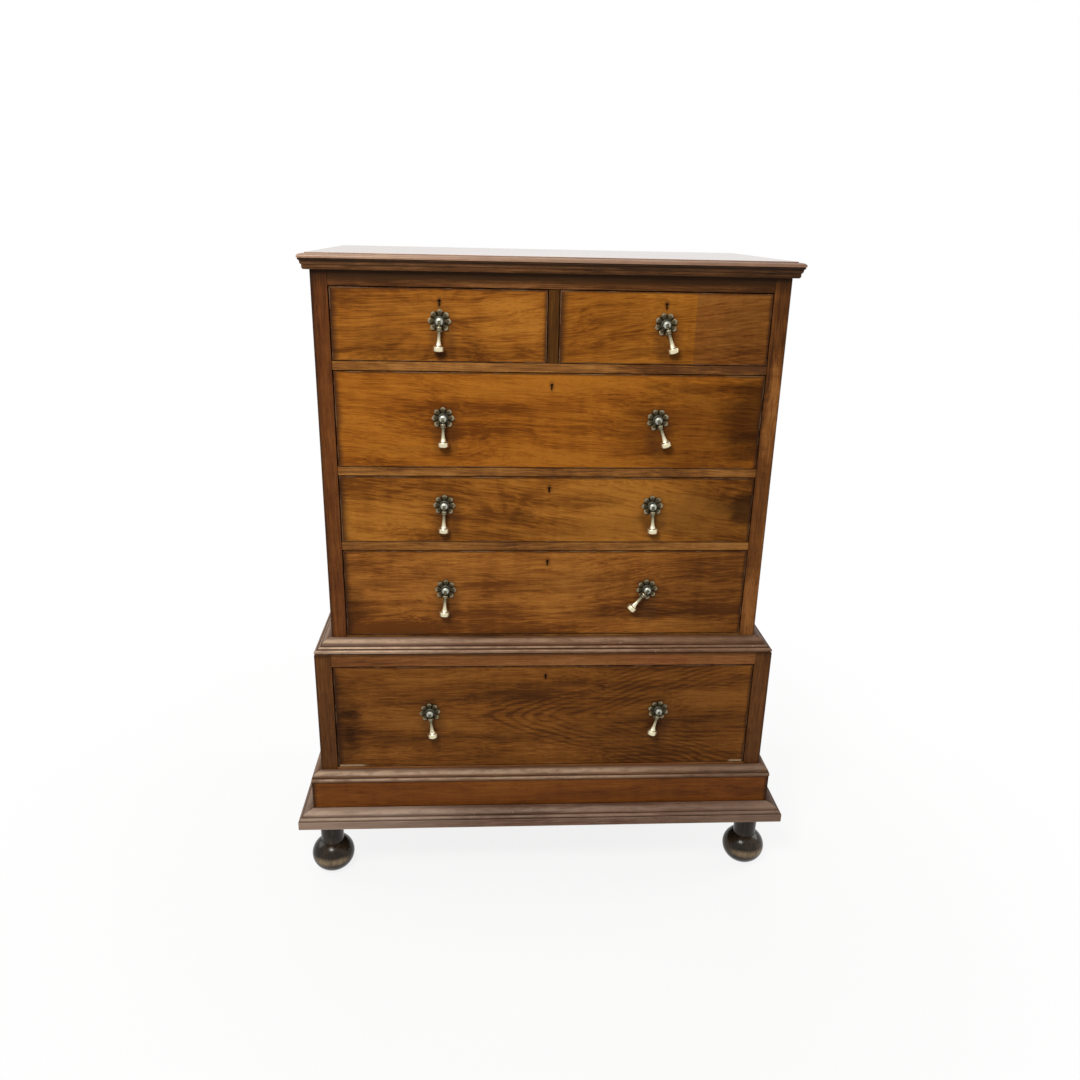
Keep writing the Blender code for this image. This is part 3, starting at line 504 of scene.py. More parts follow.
def woodMaterial(name):
    look = {**woodFinish, **woodLooks[name]}
    material, w, shader, spot = newMaterial(name)
    x, y, z = w.split(spot)
    flat = w.vector("MULTIPLY", spot, flatten)
    along = w.vector("ADD", grainAlong(w, spot, look["axis"]), look["shift"])
    grain = layGrain(w, look, along, addPales(w, flat, look["pales"], 0.0))
    colour = grain["Color"]
    normal = w.normal()
    dust = w.group(dustAndSheenGroup, Along=along, Amount=look["dust"], Bloom=look["bloom"])["Mask"]
    wear = look["wear"]
    if look["splice"]:
        start, end, tint = look["splice"]
        within = w.times(w.sum("GREATER_THAN", x, start), w.sum("LESS_THAN", x, end))
        colour = w.mix(within, colour, tint, "MULTIPLY")
    if look["lean"]:  # painted light: film and wear are stronger to the left, where the light falls
        left, middle, right = look["lean"]
        lean = w.ease(x, *paintedLightRun, left, middle)
        wear = w.times(wear, w.most(lean, 0.5), w.ease(x, *rubAndHighlightRun, 1.0, 0.3))
        dust = w.sum("MULTIPLY", dust, w.add(lean, w.ease(x, *paintedLightEnd, 0.0, right - middle)), clamp=True)
    # dust and painted sheen lighten the colour
    colour = w.mix(dust, colour, dustAndSheenColour)
    if look["far"]:  # painted shade: the right side is darker
        colour = w.mix(w.sum("GREATER_THAN", x, 0.0), colour, (look["far"],) * 3, "MULTIPLY")
    if look["specks"]:
        specks = w.group(speckGroup, Along=along, Share=look["specks"])["Mask"]
        colour = w.coat(colour, specks, look["speckDepth"], speckColour)
    onFace = w.fall(normal[1], -0.7, -0.3)
    # painted shade under the moulding above, darker towards its top
    if look["shade"]:
        start, end, strength = look["shade"]
        colour = w.mix(w.ease(z, start, end, 0.0, w.times(onFace, strength)), colour, paintedShadeColour)
    # the outer edges are darker: handling dirt and painted shade
    if look["edge"]:
        start, end, strength = look["edge"]
        grip = w.ease(w.sum("ABSOLUTE", x), start, end, 0.0, w.times(onFace, strength))
        colour = w.mix(grip, colour, grimeAndShade)
    worn = w.group(
        wornGroup, Color=colour, Along=along, Proud=w.proud(), Pale=look["pale"], Grime=grimeAndShade, Wear=wear,
        Dirt=look["dirt"],
    )
    dull = dust
    if look["polish"]:  # only the flat has the high polish, which shows at a low angle
        facing = w.place("LayerWeight", Blend=0.5).outputs["Facing"]
        dull = w.most(dust, w.fall(normal[2], 0.9, 0.99), w.fall(facing, 0.8, 0.95))
    setFinish(w, shader, look, worn["Color"], grain["Height"], dull)
    return material


# Drawer fronts: each has its own board, stains and dirt

frontLooks = {
    # flame: x, z, slope, step, length, strength; fan: x, z, rays, reach, strength; lean: rise of the grain
    # to the right; pales and stains: x, z, width, height, strength
    "top_left": {
        "shift": (0.6, 0.0, 0.15), "lean": 0.05, "fan": (-0.215, 1.212, 15.0, 0.26, 0.12),
        "pales": [(-0.08, 1.2, 0.07, 0.06, 0.22)],
        "stains": [(-0.335, 1.17, 0.06, 0.045, 0.26), (-0.25, 1.15, 0.11, 0.012, 0.3),
                   (-0.16, 1.155, 0.07, 0.03, 0.22), (-0.29, 1.235, 0.1, 0.016, 0.18)],
    },
    "top_right": {
        "shift": (4.1, 0.0, 0.95), "lean": 0.1, "flame": (0.03, 1.19, 5.0, 0.045, 0.5, 0.12),
        "tones": ((0.125, 0.036, 0.004), (0.256, 0.084, 0.0085), (0.36, 0.134, 0.016)),
        "stains": [(0.2, 1.16, 0.09, 0.012, 0.3), (0.4, 1.19, 0.1, 0.1, 0.2)],
    },
    "upper": {
        "shift": (8.3, 0.0, 1.75), "lean": -0.04, "flame": (0.1, 1.06, 6.0, 0.05, 0.8, 0.14),
        "tones": ((0.13, 0.036, 0.0038), (0.272, 0.084, 0.008), (0.375, 0.132, 0.014)),
        "figure": 1.45, "pales": [(-0.32, 1.0, 0.17, 0.1, 0.29)],
        "stains": [(0.43, 1.03, 0.11, 0.14, 0.8), (0.33, 1.09, 0.16, 0.014, 0.4),
                   (0.3, 1.0, 0.22, 0.12, 0.46), (0.395, 0.99, 0.07, 0.018, 0.45),
                   (-0.25, 0.965, 0.14, 0.01, 0.22)],
    },
    "middle": {
        "shift": (2.7, 0.0, 3.35), "lean": -0.12, "fan": (-0.09, 0.8, 9.0, 0.2, 0.16), "figure": 1.55,
        "tones": ((0.124, 0.038, 0.005), (0.268, 0.092, 0.0118), (0.385, 0.15, 0.022)),
        "pales": [(-0.34, 0.83, 0.13, 0.08, 0.32)],
        "stains": [(0.412, 0.842, 0.05, 0.052, 0.85), (-0.055, 0.825, 0.035, 0.022, 0.45),
                   (-0.1, 0.79, 0.16, 0.01, 0.3), (0.34, 0.83, 0.16, 0.09, 0.5),
                   (0.375, 0.85, 0.06, 0.03, 0.4), (0.1, 0.8, 0.2, 0.03, 0.22),
                   (0.06, 0.86, 0.12, 0.02, 0.25)],
    },
    "lower": {
        "shift": (6.5, 0.0, 5.05), "lean": 0.04, "flame": (-0.02, 0.65, 6.0, 0.045, 0.6, 0.14),
        "tones": ((0.124, 0.038, 0.0066), (0.268, 0.092, 0.015), (0.385, 0.15, 0.027)),
        "figure": 1.45, "pales": [(-0.28, 0.66, 0.16, 0.07, 0.3)],
        "stains": [(-0.41, 0.63, 0.04, 0.06, 0.5), (-0.35, 0.68, 0.05, 0.012, 0.35),
                   (0.2, 0.615, 0.17, 0.022, 0.45), (0.37, 0.66, 0.17, 0.14, 0.4),
                   (0.08, 0.68, 0.16, 0.03, 0.22)],
    },
    "stand": {
        "shift": (1.9, 0.0, 7.45), "lean": 0.0, "flame": (-0.17, 0.385, 3.2, 0.036, 0.42, 0.34),
        "tones": ((0.078, 0.025, 0.0045), (0.178, 0.06, 0.0092), (0.262, 0.098, 0.0175)),
        "pales": [(-0.3, 0.375, 0.1, 0.035, 0.2), (-0.33, 0.295, 0.13, 0.018, 0.22),
                  (0.36, 0.43, 0.09, 0.03, 0.16)],
        "stains": [(-0.415, 0.392, 0.024, 0.014, 0.6), (-0.418, 0.345, 0.014, 0.034, 0.45),
                   (-0.43, 0.36, 0.05, 0.13, 0.62), (0.27, 0.36, 0.24, 0.16, 0.2),
                   (-0.12, 0.43, 0.16, 0.014, 0.35), (-0.1, 0.335, 0.22, 0.012, 0.25),
                   (0.27, 0.37, 0.22, 0.012, 0.2)],
    },
}
frontSet = {
    "tones": ((0.124, 0.037, 0.0045), (0.27, 0.09, 0.0105), (0.385, 0.146, 0.019)),
    "gloss": 0.4, "shine": 0.05, "relief": 0.25, "pores": 0.5, "wander": 0.06, "figure": 1.2,
    "streaks": 1.25, "pales": [],
}
# widths of the dirt and painted shade along each edge of a front
frontDirtAndShade = {"Left": 0.017, "Right": 0.009, "Top": 0.0055, "Bottom": 0.003}
frontShare = {"stain": 0.85, "halo": 0.42, "rim": 0.86, "arris": 0.28, "specks": 0.003, "speckDepth": 0.6}
handleDirtAndShadow = (0.004, -0.028, 0.032, 0.06)  # dirt and painted shadow below a handle: way to the right and up, width, height
keyHalo = (0.0, -0.0235, 0.007, 0.012)
tailSet = {"Lap": 0.006, "Pitch": 0.034}
tailRise = 0.004  # from the foot of a front to its first tail
veneerJoint = {"x": 0.272, "half": 0.0006, "tint": (0.76, 0.78, 1.25)}  # the top right front changes here
# colour of the dirt round the edges, keyholes and handles, and of the painted shade there
dirtAndShadeColour = (0.03, 0.012, 0.006)
stainTint = (0.14, 0.115, 0.16)
pineColour = (0.3, 0.18, 0.075)
# Bare wood at the lower corners of the deep drawer
bareStrip = {
    "left": 0.062, "right": 0.034, "height": 0.006, "inset": 0.003, "soft": 0.001, "solid": 0.7,
    "colour": (0.42, 0.29, 0.17), "share": 0.8,
}


def frontMaterial(drawer):
    look = {**frontSet, **frontLooks[drawer]}
    low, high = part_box("drawer_front_" + drawer)
    material, w, shader, spot = newMaterial("front_" + drawer)
    flat = w.vector("MULTIPLY", spot, flatten)
    x, y, z = w.split(spot)
    along = w.vector("ADD", w.join(x, y, w.add(z, x, -look["lean"])), look["shift"])
    if "flame" in look:
        tipX, tipZ, slope, step, length, strength = look["flame"]
        figure = w.group(flameGroup, Along=flat, Tip=(tipX, 0.0, tipZ), Slope=slope, Step=step, Length=length)
    else:
        midX, midZ, rays, reach, strength = look["fan"]
        figure = w.group(fanGroup, Along=flat, Centre=(midX, 0.0, midZ), Count=rays, Reach=reach)
    extra = addPales(w, flat, look["pales"], w.times(figure["Tone"], strength))
    grain = layGrain(w, look, along, extra)
    colour = grain["Color"]
    if drawer == "top_right":
        start, half = veneerJoint["x"], veneerJoint["half"]
        colour = w.mix(w.ease(x, start - half, start + half), colour, veneerJoint["tint"], "MULTIPLY")
    for *patch, strength in look["stains"]:
        mask = patchMask(w, flat, *patch)
        colour = w.coat(colour, mask, strength * frontShare["stain"], stainTint, "MULTIPLY")
    # Dirt round the keyhole; dirt and painted shadow below each handle
    halos = [(place, handleDirtAndShadow) for name, place in handleSpots.items() if drawerOf(name) == drawer]
    halos.append((Vector(((low.x + high.x) / 2, 0.0, high.z)), keyHalo))
    for place, (right, up, wide, tall) in halos:
        mask = patchMask(w, flat, place.x + right, place.z + up, wide, tall, rag=0.7)
        colour = w.coat(colour, mask, frontShare["halo"], dirtAndShadeColour)
    rim = w.group(rimGroup, Along=spot, Low=low, High=high, **frontDirtAndShade)
    # dirt and painted shade along the edges of the front
    colour = w.coat(colour, rim["Dirt"], frontShare["rim"], dirtAndShadeColour)
    colour = w.coat(colour, rim["Arris"], frontShare["arris"], paleWear)
    if drawer == "stand":
        height = bareStrip["height"]
        fromEnd = w.sum("SUBTRACT", high.x - bareStrip["inset"], w.sum("ABSOLUTE", x))
        length = w.ease(x, -0.1, 0.1, bareStrip["left"], bareStrip["right"])
        strip = w.times(
            w.fall(fromEnd, w.times(length, bareStrip["solid"]), length),
            w.fall(w.sum("SUBTRACT", z, low.z), height - bareStrip["soft"], height),
            w.sum("GREATER_THAN", fromEnd, 0.0),
        )
        colour = w.coat(colour, strip, bareStrip["share"], bareStrip["colour"])
        specks = w.group(speckGroup, Along=spot, Share=frontShare["specks"])["Mask"]
        colour = w.coat(colour, specks, frontShare["speckDepth"], speckColour)
    tails = w.group(dovetailGroup, Along=spot, Face=low.y, Start=low.z + tailRise, **tailSet)
    colour = w.mix(tails["Mask"], colour, pineColour)
    setFinish(w, shader, look, colour, grain["Height"], rim["Dirt"])
    return material


# Pine of the drawer boxes, inner boards and backs

pineLooks = {
    "drawerPine": {
        "tones": ((0.185, 0.098, 0.038), (0.33, 0.2, 0.085), (0.43, 0.29, 0.14)),
        "shift": (2.3, 4.4, 1.1),
    },
    "boardPine": {
        "tones": ((0.12, 0.066, 0.028), (0.24, 0.142, 0.064), (0.33, 0.21, 0.105)),
        "shift": (6.3, 1.4, 3.1),
    },
    "backPine": {
        "tones": ((0.07, 0.038, 0.018), (0.16, 0.092, 0.044), (0.24, 0.15, 0.078)),
        "shift": (1.3, 7.4, 5.1),
    },
}
pineSet = {
    "gloss": 0.62, "shine": 0.18, "relief": 0.35, "pores": 0.15, "wander": 0.05, "figure": 0.8,
    "streaks": 0.7, "stain": 0.55,
}
facedDepth = 0.045  # how far back the better wood goes


def pineMaterial(name, axis=None, faced=None):
    # Without an axis the grain follows each face, along Y on upright sides and along X elsewhere.
    # The front edge may be faced with a better wood
    look = {**pineSet, **pineLooks[name]}
    material, w, shader, spot = newMaterial(name + "_faced" if faced else name)
    turned = grainAlong(w, spot, axis or "X")
    if axis is None:
        onSide = w.sum("GREATER_THAN", w.sum("ABSOLUTE", w.normal()[0]), 0.7)
        turned = w.mix(onSide, turned, grainAlong(w, spot, "Y"))
    grain = layGrain(w, look, w.vector("ADD", turned, look["shift"]))
    stain = w.ease(w.cloud(spot, 5.0, 5.0, 4.0, 0.6), 0.48, 0.75)
    colour = w.coat(grain["Color"], stain, look["stain"], look["tones"][0])
    if faced:
        face = {**woodFinish, **woodLooks[faced]}
        outer = layGrain(w, face, w.vector("ADD", spot, face["shift"]))
        behind = w.sum("GREATER_THAN", w.split(spot)[1], caseFront + facedDepth)
        colour = w.mix(behind, outer["Color"], colour)
    setFinish(w, shader, look, colour, grain["Height"], stain)
    return material


# Metals

metalLooks = {
    "roseBronze": {
        "bright": (0.285, 0.235, 0.15), "dull": (0.062, 0.048, 0.026), "grime": (0.016, 0.012, 0.006),
        "wear": 0.8, "gloss": 0.42, "tarnish": 0.8,
    },
    "bossBrass": {
        "bright": (0.44, 0.45, 0.39), "dull": (0.13, 0.13, 0.1), "grime": (0.012, 0.01, 0.007),
        "wear": 0.8, "gloss": 0.44, "tarnish": 0.55,
    },
    "pendantBrass": {
        "bright": (0.78, 0.7, 0.48), "dull": (0.24, 0.21, 0.13), "grime": (0.035, 0.03, 0.018),
        "wear": 0.9, "gloss": 0.28, "tarnish": 0.45,
    },
    "lockIron": {
        "bright": (0.28, 0.26, 0.24), "dull": (0.1, 0.085, 0.075), "grime": (0.02, 0.014, 0.01),
        "wear": 0.6, "gloss": 0.45, "tarnish": 0.7,
    },
}
metalSet = {
    "dirt": 0.95, "patch": 130.0, "tarnishDull": 0.14, "deepDull": 0.25, "rubScale": (6.0, 2.0, 2.0),
    "scratch": (900.0, 900.0, 260.0), "relief": 0.12, "scratchDepth": 0.0002,
}


def metalMaterial(name):
    look = {**metalSet, **metalLooks[name]}
    material, w, shader, spot = newMaterial(name)
    tarnish = w.ease(w.cloud(spot, look["patch"], look["patch"], 4.0, 0.65), 0.35, 0.68)
    colour = w.coat(look["bright"], tarnish, look["tarnish"], look["dull"])
    proud = w.proud()
    colour = w.mix(w.ease(proud, 0.7, -0.1), colour, look["dull"])
    worn = w.group(
        wornGroup, Color=colour, Along=w.vector("MULTIPLY", spot, look["rubScale"]), Proud=proud,
        Pale=look["bright"], Grime=look["grime"], Wear=look["wear"], Dirt=look["dirt"],
    )
    w.put(shader.inputs["Base Color"], worn["Color"])
    shader.inputs["Metallic"].default_value = 1.0
    rough = w.ease(tarnish, 0.0, 1.0, look["gloss"], look["gloss"] + look["tarnishDull"])
    w.put(shader.inputs["Roughness"], w.add(rough, w.ease(proud, 0.15, -0.75), look["deepDull"]))
    scratches = w.cloud(w.vector("MULTIPLY", spot, look["scratch"]), 1.0, 1.0)
    w.bump(shader, scratches, look["relief"], look["scratchDepth"])
    return material


woods = {name: woodMaterial(name) for name in woodLooks}
metals = {name: metalMaterial(name) for name in metalLooks}
pines = {
    "drawerPine": pineMaterial("drawerPine"),
    "boardPine": pineMaterial("boardPine", "X"),
    "backPine": pineMaterial("backPine", "Z"),
    "facedBoard": pineMaterial("boardPine", "X", "rail"),
}
print("finishes made:", len(bpy.data.materials))


# Mesh helpers

def meshFrom(bm, name, angle=32.0):
    bmesh.ops.recalc_face_normals(bm, faces=bm.faces)
    mesh = bpy.data.meshes.new(name)
    bm.to_mesh(mesh)
    bm.free()
    mesh.shade_smooth()
    mesh.set_sharp_from_angle(angle=math.radians(angle))
    return mesh


def ringMesh(name, rings, angle=32.0, capped=False, looped=False):
    # A skin over rings of (place, proud); a ring of one point is a closed end
    bm = bmesh.new()
    layer = bm.verts.layers.float.new("proud")
    loops = []
    for ring in rings:
        loops.append([bm.verts.new(place) for place, proud in ring])
        for vert, (place, proud) in zip(loops[-1], ring):
            vert[layer] = proud
    if looped:
        loops.append(loops[0])
    for first, second in zip(loops, loops[1:]):
        count = max(len(first), len(second))
        for step in range(count):
            after = (step + 1) % count
            corners = [first[step % len(first)], first[after % len(first)]]
            corners += [second[after % len(second)], second[step % len(second)]]
            bm.faces.new(list(dict.fromkeys(corners)))
    if capped:
        bm.faces.new(loops[0])
        bm.faces.new(loops[-1][::-1])
    return meshFrom(bm, name, angle)


def latheMesh(name, points, turns):
    # A turned shape from (radius, height, proud), its ends on the axis closed
    rings = []
    for radius, height, proud in points:
        count = 1 if radius < 1e-7 else turns
        angles = [2 * math.pi * step / turns for step in range(count)]
        rings.append([((radius * math.cos(turn), radius * math.sin(turn), height), proud) for turn in angles])
    return ringMesh(name, rings)


def boxMesh(name, low, high):
    bm = bmesh.new()
    bmesh.ops.create_cube(bm, size=1.0)
    low, high = Vector(low), Vector(high)
    bmesh.ops.scale(bm, vec=high - low, verts=bm.verts)
    bmesh.ops.translate(bm, vec=(low + high) / 2, verts=bm.verts)
    return meshFrom(bm, name)


def rodMesh(name, radius, length, turns):
    # A round rod along X
    bm = bmesh.new()
    bmesh.ops.create_cone(bm, cap_ends=True, segments=turns, radius1=radius, radius2=radius, depth=length)
    bm.transform(Matrix.Rotation(math.pi / 2, 4, "Y"))
    return meshFrom(bm, name)


def carve(name, mesh, cuts, angle=35.0):
    # Cuts or joins helper meshes with Booleans and gives the finished mesh
    body = addObject(name, mesh)
    helpers = [body]
    for operation, tool in cuts:
        helpers.append(addObject(name + "_tool", tool))
        cut = body.modifiers.new("cut", "BOOLEAN")
        cut.operation = operation
        cut.solver = "EXACT"
        cut.object = helpers[-1]
    bpy.context.view_layer.update()
    graph = bpy.context.evaluated_depsgraph_get()
    made = bpy.data.meshes.new_from_object(body.evaluated_get(graph))
    for spent in helpers:
        bpy.data.objects.remove(spent, do_unlink=True)
    made.shade_smooth()
    made.set_sharp_from_angle(angle=math.radians(angle))
    return made


arrisAngle = math.radians(40)


def soften(thing, width, steps=2):
    edge = thing.modifiers.new("arris", "BEVEL")
    edge.width = width
    edge.segments = steps
    edge.limit_method = "ANGLE"
    edge.angle_limit = arrisAngle
    edge.harden_normals = True


def copyAt(shape, place):
    mesh = shape.copy()
    mesh.transform(place)
    return mesh


def addPiece(name, mesh, body, material, slot, *replaced, arris=0.0, steps=2):
    mesh.materials.append(material)
    made = addObject(name, mesh)
    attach(made, body)
    if replaced:
        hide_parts(*replaced)
    if arris:
        soften(made, arris, steps)


def curveTo(start, end, hollow=False, steps=10, wear=1.0, dirt=0.0):
    # A quarter round, or a cove, without its first point; the middle of a round stands proud
    points = []
    for step in range(1, steps + 1):
        share = step / steps
        turned = math.pi / 2 * share
        if hollow:
            out = start[0] + (end[0] - start[0]) * math.sin(turned)
            up = end[1] + (start[1] - end[1]) * math.cos(turned)
        else:
            out = end[0] + (start[0] - end[0]) * math.cos(turned)
            up = start[1] + (end[1] - start[1]) * math.sin(turned)
        proud = (-0.25 if hollow else 0.9) * math.sin(math.pi * share)
        points.append((out, up, proud * wear - dirt))
    return points


def addBead(profile, wide, tall, quirk, riser, proud):
    # A round of that width and height, then the quirk and the riser over it
    start = profile[-1]
    out, up = start[0] - wide, start[1] + tall
    profile += curveTo(start, (out, up))
    profile += [(out - quirk, up, -1.0), (out - quirk, up + riser, proud)]


# Mouldings: mitred lengths round the front and both sides

mouldingSet = {
    "room": 0.00012, "angle": 28.0, "arris": 0.00025, "deep": -0.85, "dirt": -0.55, "dirtReach": 0.0012,
}
waver = {"depth": 0.00022, "pitch": 0.045, "from": 0.004, "run": 9.0, "rise": 60.0}  # of hand-planed lengths


def mitredLength(name, profile, half, front, run):
    sign = 1.0 if run == "right" else -1.0
    start, startAway = Vector((sign * half, front)), Vector((sign, -1.0))
    if run == "front":
        end, endAway, square = Vector((half, front)), Vector((1.0, -1.0)), Vector((0.0, -1.0))
    else:
        end, endAway, square = Vector((sign * half, backY)), Vector((sign, 0.0)), Vector((sign, 0.0))
    room = (end - start).normalized() * mouldingSet["room"]
    start = start + room
    if run == "front":
        end = end - room
    count = max(2, round((end - start).length / waver["pitch"]))
    rings = []
    for number in range(count + 1):
        ring = []
        for out, up, proud in profile:
            at = (start + startAway * out).lerp(end + endAway * out, number / count)
            if 0 < number < count and out > waver["from"]:
                rough = noise.noise(Vector((at.x * waver["run"], at.y * waver["run"], up * waver["rise"])))
                at = at + square * rough * waver["depth"]
            ring.append(((at.x, at.y, up), proud))
        rings.append(ring)
    return ringMesh(name, rings, mouldingSet["angle"], capped=True)


def addMoulding(name, profile, half, front, wood, replaced, slot="moulding"):
    deep = [Vector(point[:2]) for point in profile if point[2] < mouldingSet["deep"]]
    for index, (out, up, proud) in enumerate(profile):  # the dirt and painted shade of a quirk spread a little way out
        if any((Vector((out, up)) - place).length < mouldingSet["dirtReach"] for place in deep):
            profile[index] = (out, up, min(proud, mouldingSet["dirt"]))
    for run in ("front", "left", "right"):
        length = f"{name}_{run}"
        mesh = mitredLength(length, profile, half, front, run)
        finish = woods[wood if run == "front" else wood + "Side"]
        addPiece(length, mesh, "carcase", finish, slot, replaced, arris=mouldingSet["arris"], steps=1)


cornicePart = {
    "foot": 0.0082, "footHeight": 0.0045, "band": 0.0118, "bandHeight": 0.0045, "head": 0.0175,
    "headHeight": 0.003, "bandEdge": 0.0004,
}


def makeCornice(part):
    # From the head down: a fillet, a hollow over a round, a band and a small round
    low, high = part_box("cornice_moulding")
    bandFoot = (part["band"], low.z + part["footHeight"])
    bandHead = (part["band"], bandFoot[1] + part["bandHeight"])
    brow = (part["head"], high.z - part["headHeight"])
    bend = ((brow[0] + bandHead[0]) / 2, (brow[1] + bandHead[1]) / 2)
    profile = [(hair, high.z, -0.9), (part["head"], high.z, -0.9), (*brow, -0.5)]
    profile += curveTo(brow, bend, hollow=True, dirt=0.5) + curveTo(bend, bandHead, wear=0.5)
    profile += [(part["band"], bandHead[1] - part["bandEdge"], -0.45), (*bandFoot, 0.3)]
    profile += curveTo(bandFoot, (part["foot"], low.z), dirt=0.7)
    profile.append((hair, low.z, -0.9))
    addMoulding("cornice", profile, caseHalf, caseFront, "cornice", "cornice_moulding")


waistPart = {
    "undercut": 0.003, "undercutDepth": 0.002, "nose": 0.002, "bead": 0.006, "beadHeight": 0.0038,
    "quirk": 0.001, "riser": 0.002, "lip": 0.002, "slopeWear": 0.8,
}


def makeWaist(part):
    low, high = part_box("waist_moulding")
    quirk = part["quirk"]
    bead = (part["bead"], part["beadHeight"])
    step = standHalf - caseHalf
    foot = step - part["undercutDepth"]
    under = low.z + part["undercut"]
    profile = [(hair, low.z, -0.5), (foot, low.z, -0.6), (foot, under, -1.0)]
    profile += [(step, under, 0.5), (step, under + part["nose"], 0.7)]
    addBead(profile, *bead, quirk, quirk, -0.2)
    addBead(profile, *bead, quirk, part["riser"], -0.1)
    profile += curveTo(profile[-1], (part["lip"], high.z), wear=part["slopeWear"])
    profile.append((hair, high.z, -0.8))
    addMoulding("waist", profile, caseHalf, caseFront, "moulding", "waist_moulding")


capPart = {"noseOut": 0.001, "nose": 0.0095, "quirk": 0.0015, "lip": 0.002}


def makeCap(part):
    low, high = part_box("plinth_cap_moulding")
    quirk, noseOut = part["quirk"], part["noseOut"]
    step = friezeHalf - standHalf
    profile = [(hair, low.z, -0.5), (step, low.z, -0.2), (step + noseOut, low.z + quirk, 0.6)]
    addBead(profile, noseOut, part["nose"] - quirk, quirk, quirk, -0.1)
    profile += curveTo(profile[-1], (part["lip"], high.z))
    profile.append((hair, high.z, -0.8))
    addMoulding("plinth_cap", profile, standHalf, standFront, "capMoulding", "plinth_cap_moulding")


friezePart = {"dirt": 0.004}


def makeFrieze(part):
    low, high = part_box("plinth_frieze")
    step = friezeHalf - standHalf
    # darker bands at the top and bottom: dirt and painted shade under the cap and over the base
    profile = [(hair, low.z, -0.2), (step, low.z, -0.7), (step, low.z + part["dirt"], 0.0)]
    profile += [(step, high.z - part["dirt"], 0.0), (step, high.z, -0.6), (hair, high.z, -0.2)]
    addMoulding("frieze", profile, standHalf, standFront, "frieze", "plinth_frieze", "carcase")


basePart = {
    "fascia": 0.0185, "quirk": 0.002, "bead": 0.005, "beadHeight": 0.0045, "riser": 0.0015, "lip": 0.002,
    "lowEdge": 0.003, "highEdge": 0.002, "bar": 0.115, "arris": 0.0012,
}


def makeBase(part):
    low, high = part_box("base_frame")
    quirk, riser = part["quirk"], part["riser"]
    step = high.x - friezeHalf
    fascia = low.z + part["fascia"]
    inner = step - part["bar"]
    profile = [(inner, low.z, 0.0), (step, low.z, 0.9), (step, low.z + part["lowEdge"], 0.1)]
    profile += [(step, fascia - part["highEdge"], 0.2), (step, fascia, 0.9), (step - quirk, fascia, -1.0)]
    profile.append((step - quirk, fascia + quirk, -0.2))
    addBead(profile, part["bead"], part["beadHeight"], riser, riser, -0.1)
    profile += curveTo(profile[-1], (part["lip"], high.z))
    profile.append((inner, high.z, 0.0))
    addMoulding("base", profile, friezeHalf, friezeFront, "baseMoulding", "base_frame")
    bar = high.x - part["bar"] - hair
    mesh = boxMesh("base_back_bar", (-bar, high.y - part["bar"], low.z), (bar, high.y, high.z))
    pine = pines["boardPine"]
    addPiece("base_back_bar", mesh, "carcase", pine, "inner_boards", "base_frame", arris=part["arris"])


topPart = {"fascia": 0.003, "edge": 0.002, "round": 0.013, "step": 0.0015, "wear": 0.004, "arris": 0.0004}


def makeTop(part):
    low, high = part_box("top_board")
    overhang = high.x - caseHalf
    shelf = overhang - part["round"]
    fascia = low.z + part["fascia"]
    profile = [(overhang, low.z, 0.8), (overhang, low.z + part["edge"], 0.3), (overhang, fascia, 0.7)]
    profile += curveTo((overhang, fascia), (shelf, high.z - part["step"]), steps=12)
    profile += [(shelf, high.z, 0.9), (shelf - part["wear"], high.z, 0.0)]
    rings = []
    for out, up, proud in profile:
        x, y = caseHalf + out, caseFront - out
        rings.append([(place, proud) for place in ((-x, backY, up), (-x, y, up), (x, y, up), (x, backY, up))])
    mesh = ringMesh("top", rings, mouldingSet["angle"], capped=True)
    addPiece("top", mesh, "carcase", woods["top"], "moulding", "top_board", arris=part["arris"])


makeCornice(cornicePart)
makeWaist(waistPart)
makeCap(capPart)
makeFrieze(friezePart)
makeBase(basePart)
makeTop(topPart)
print("mouldings made")


# Front frame of the stand: stiles between which the rails are set

standPart = {"gap": 0.002, "sillGap": 0.0012, "joint": 0.0001, "arris": 0.0007}


def makeStandFrame(part):
    low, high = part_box("stand_face_frame")
    frontLow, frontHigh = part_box("drawer_front_stand")
    opening = frontHigh.x + part["gap"]
    inner = opening - part["joint"]
    boards = {
        "stand_stile_left": (-standHalf, low.z, -opening, high.z, "standStile"),
        "stand_stile_right": (opening, low.z, standHalf, high.z, "standStile"),
        "stand_top_rail": (-inner, frontHigh.z + part["gap"], inner, high.z, "standRail"),
        "stand_bottom_rail": (-inner, low.z, inner, frontLow.z - part["sillGap"], "standRail"),
    }
    for name, (left, foot, right, head, wood) in boards.items():
        mesh = boxMesh(name, (left, low.y, foot), (right, high.y, head))
        addPiece(name, mesh, "carcase", woods[wood], "carcase", "stand_face_frame", arris=part["arris"])


makeStandFrame(standPart)
print("stand frame made")


# Feet

footPart = {
    "ball": 0.093, "rise": 0.0405, "sole": 0.04, "neck": 0.05, "top": 0.058, "topHeight": 0.012,
    "coveIn": 0.002, "crease": 0.001, "turns": 72, "steps": 34, "wear": 0.9, "paleBandAt": 0.02,
    "paleBandSpread": 0.28, "rub": (1.4, 0.2),
}
# The grooved band over the ball: way in, way down from its head, proud
bandLine = (
    (0.001, 0.0, 0.0), (0.0, 0.001, 0.6), (0.0, 0.0085, 0.2), (0.0012, 0.009, -1.0), (0.0012, 0.01, -1.0),
    (0.0, 0.0105, 0.6), (0.0005, 0.012, 0.5),
)


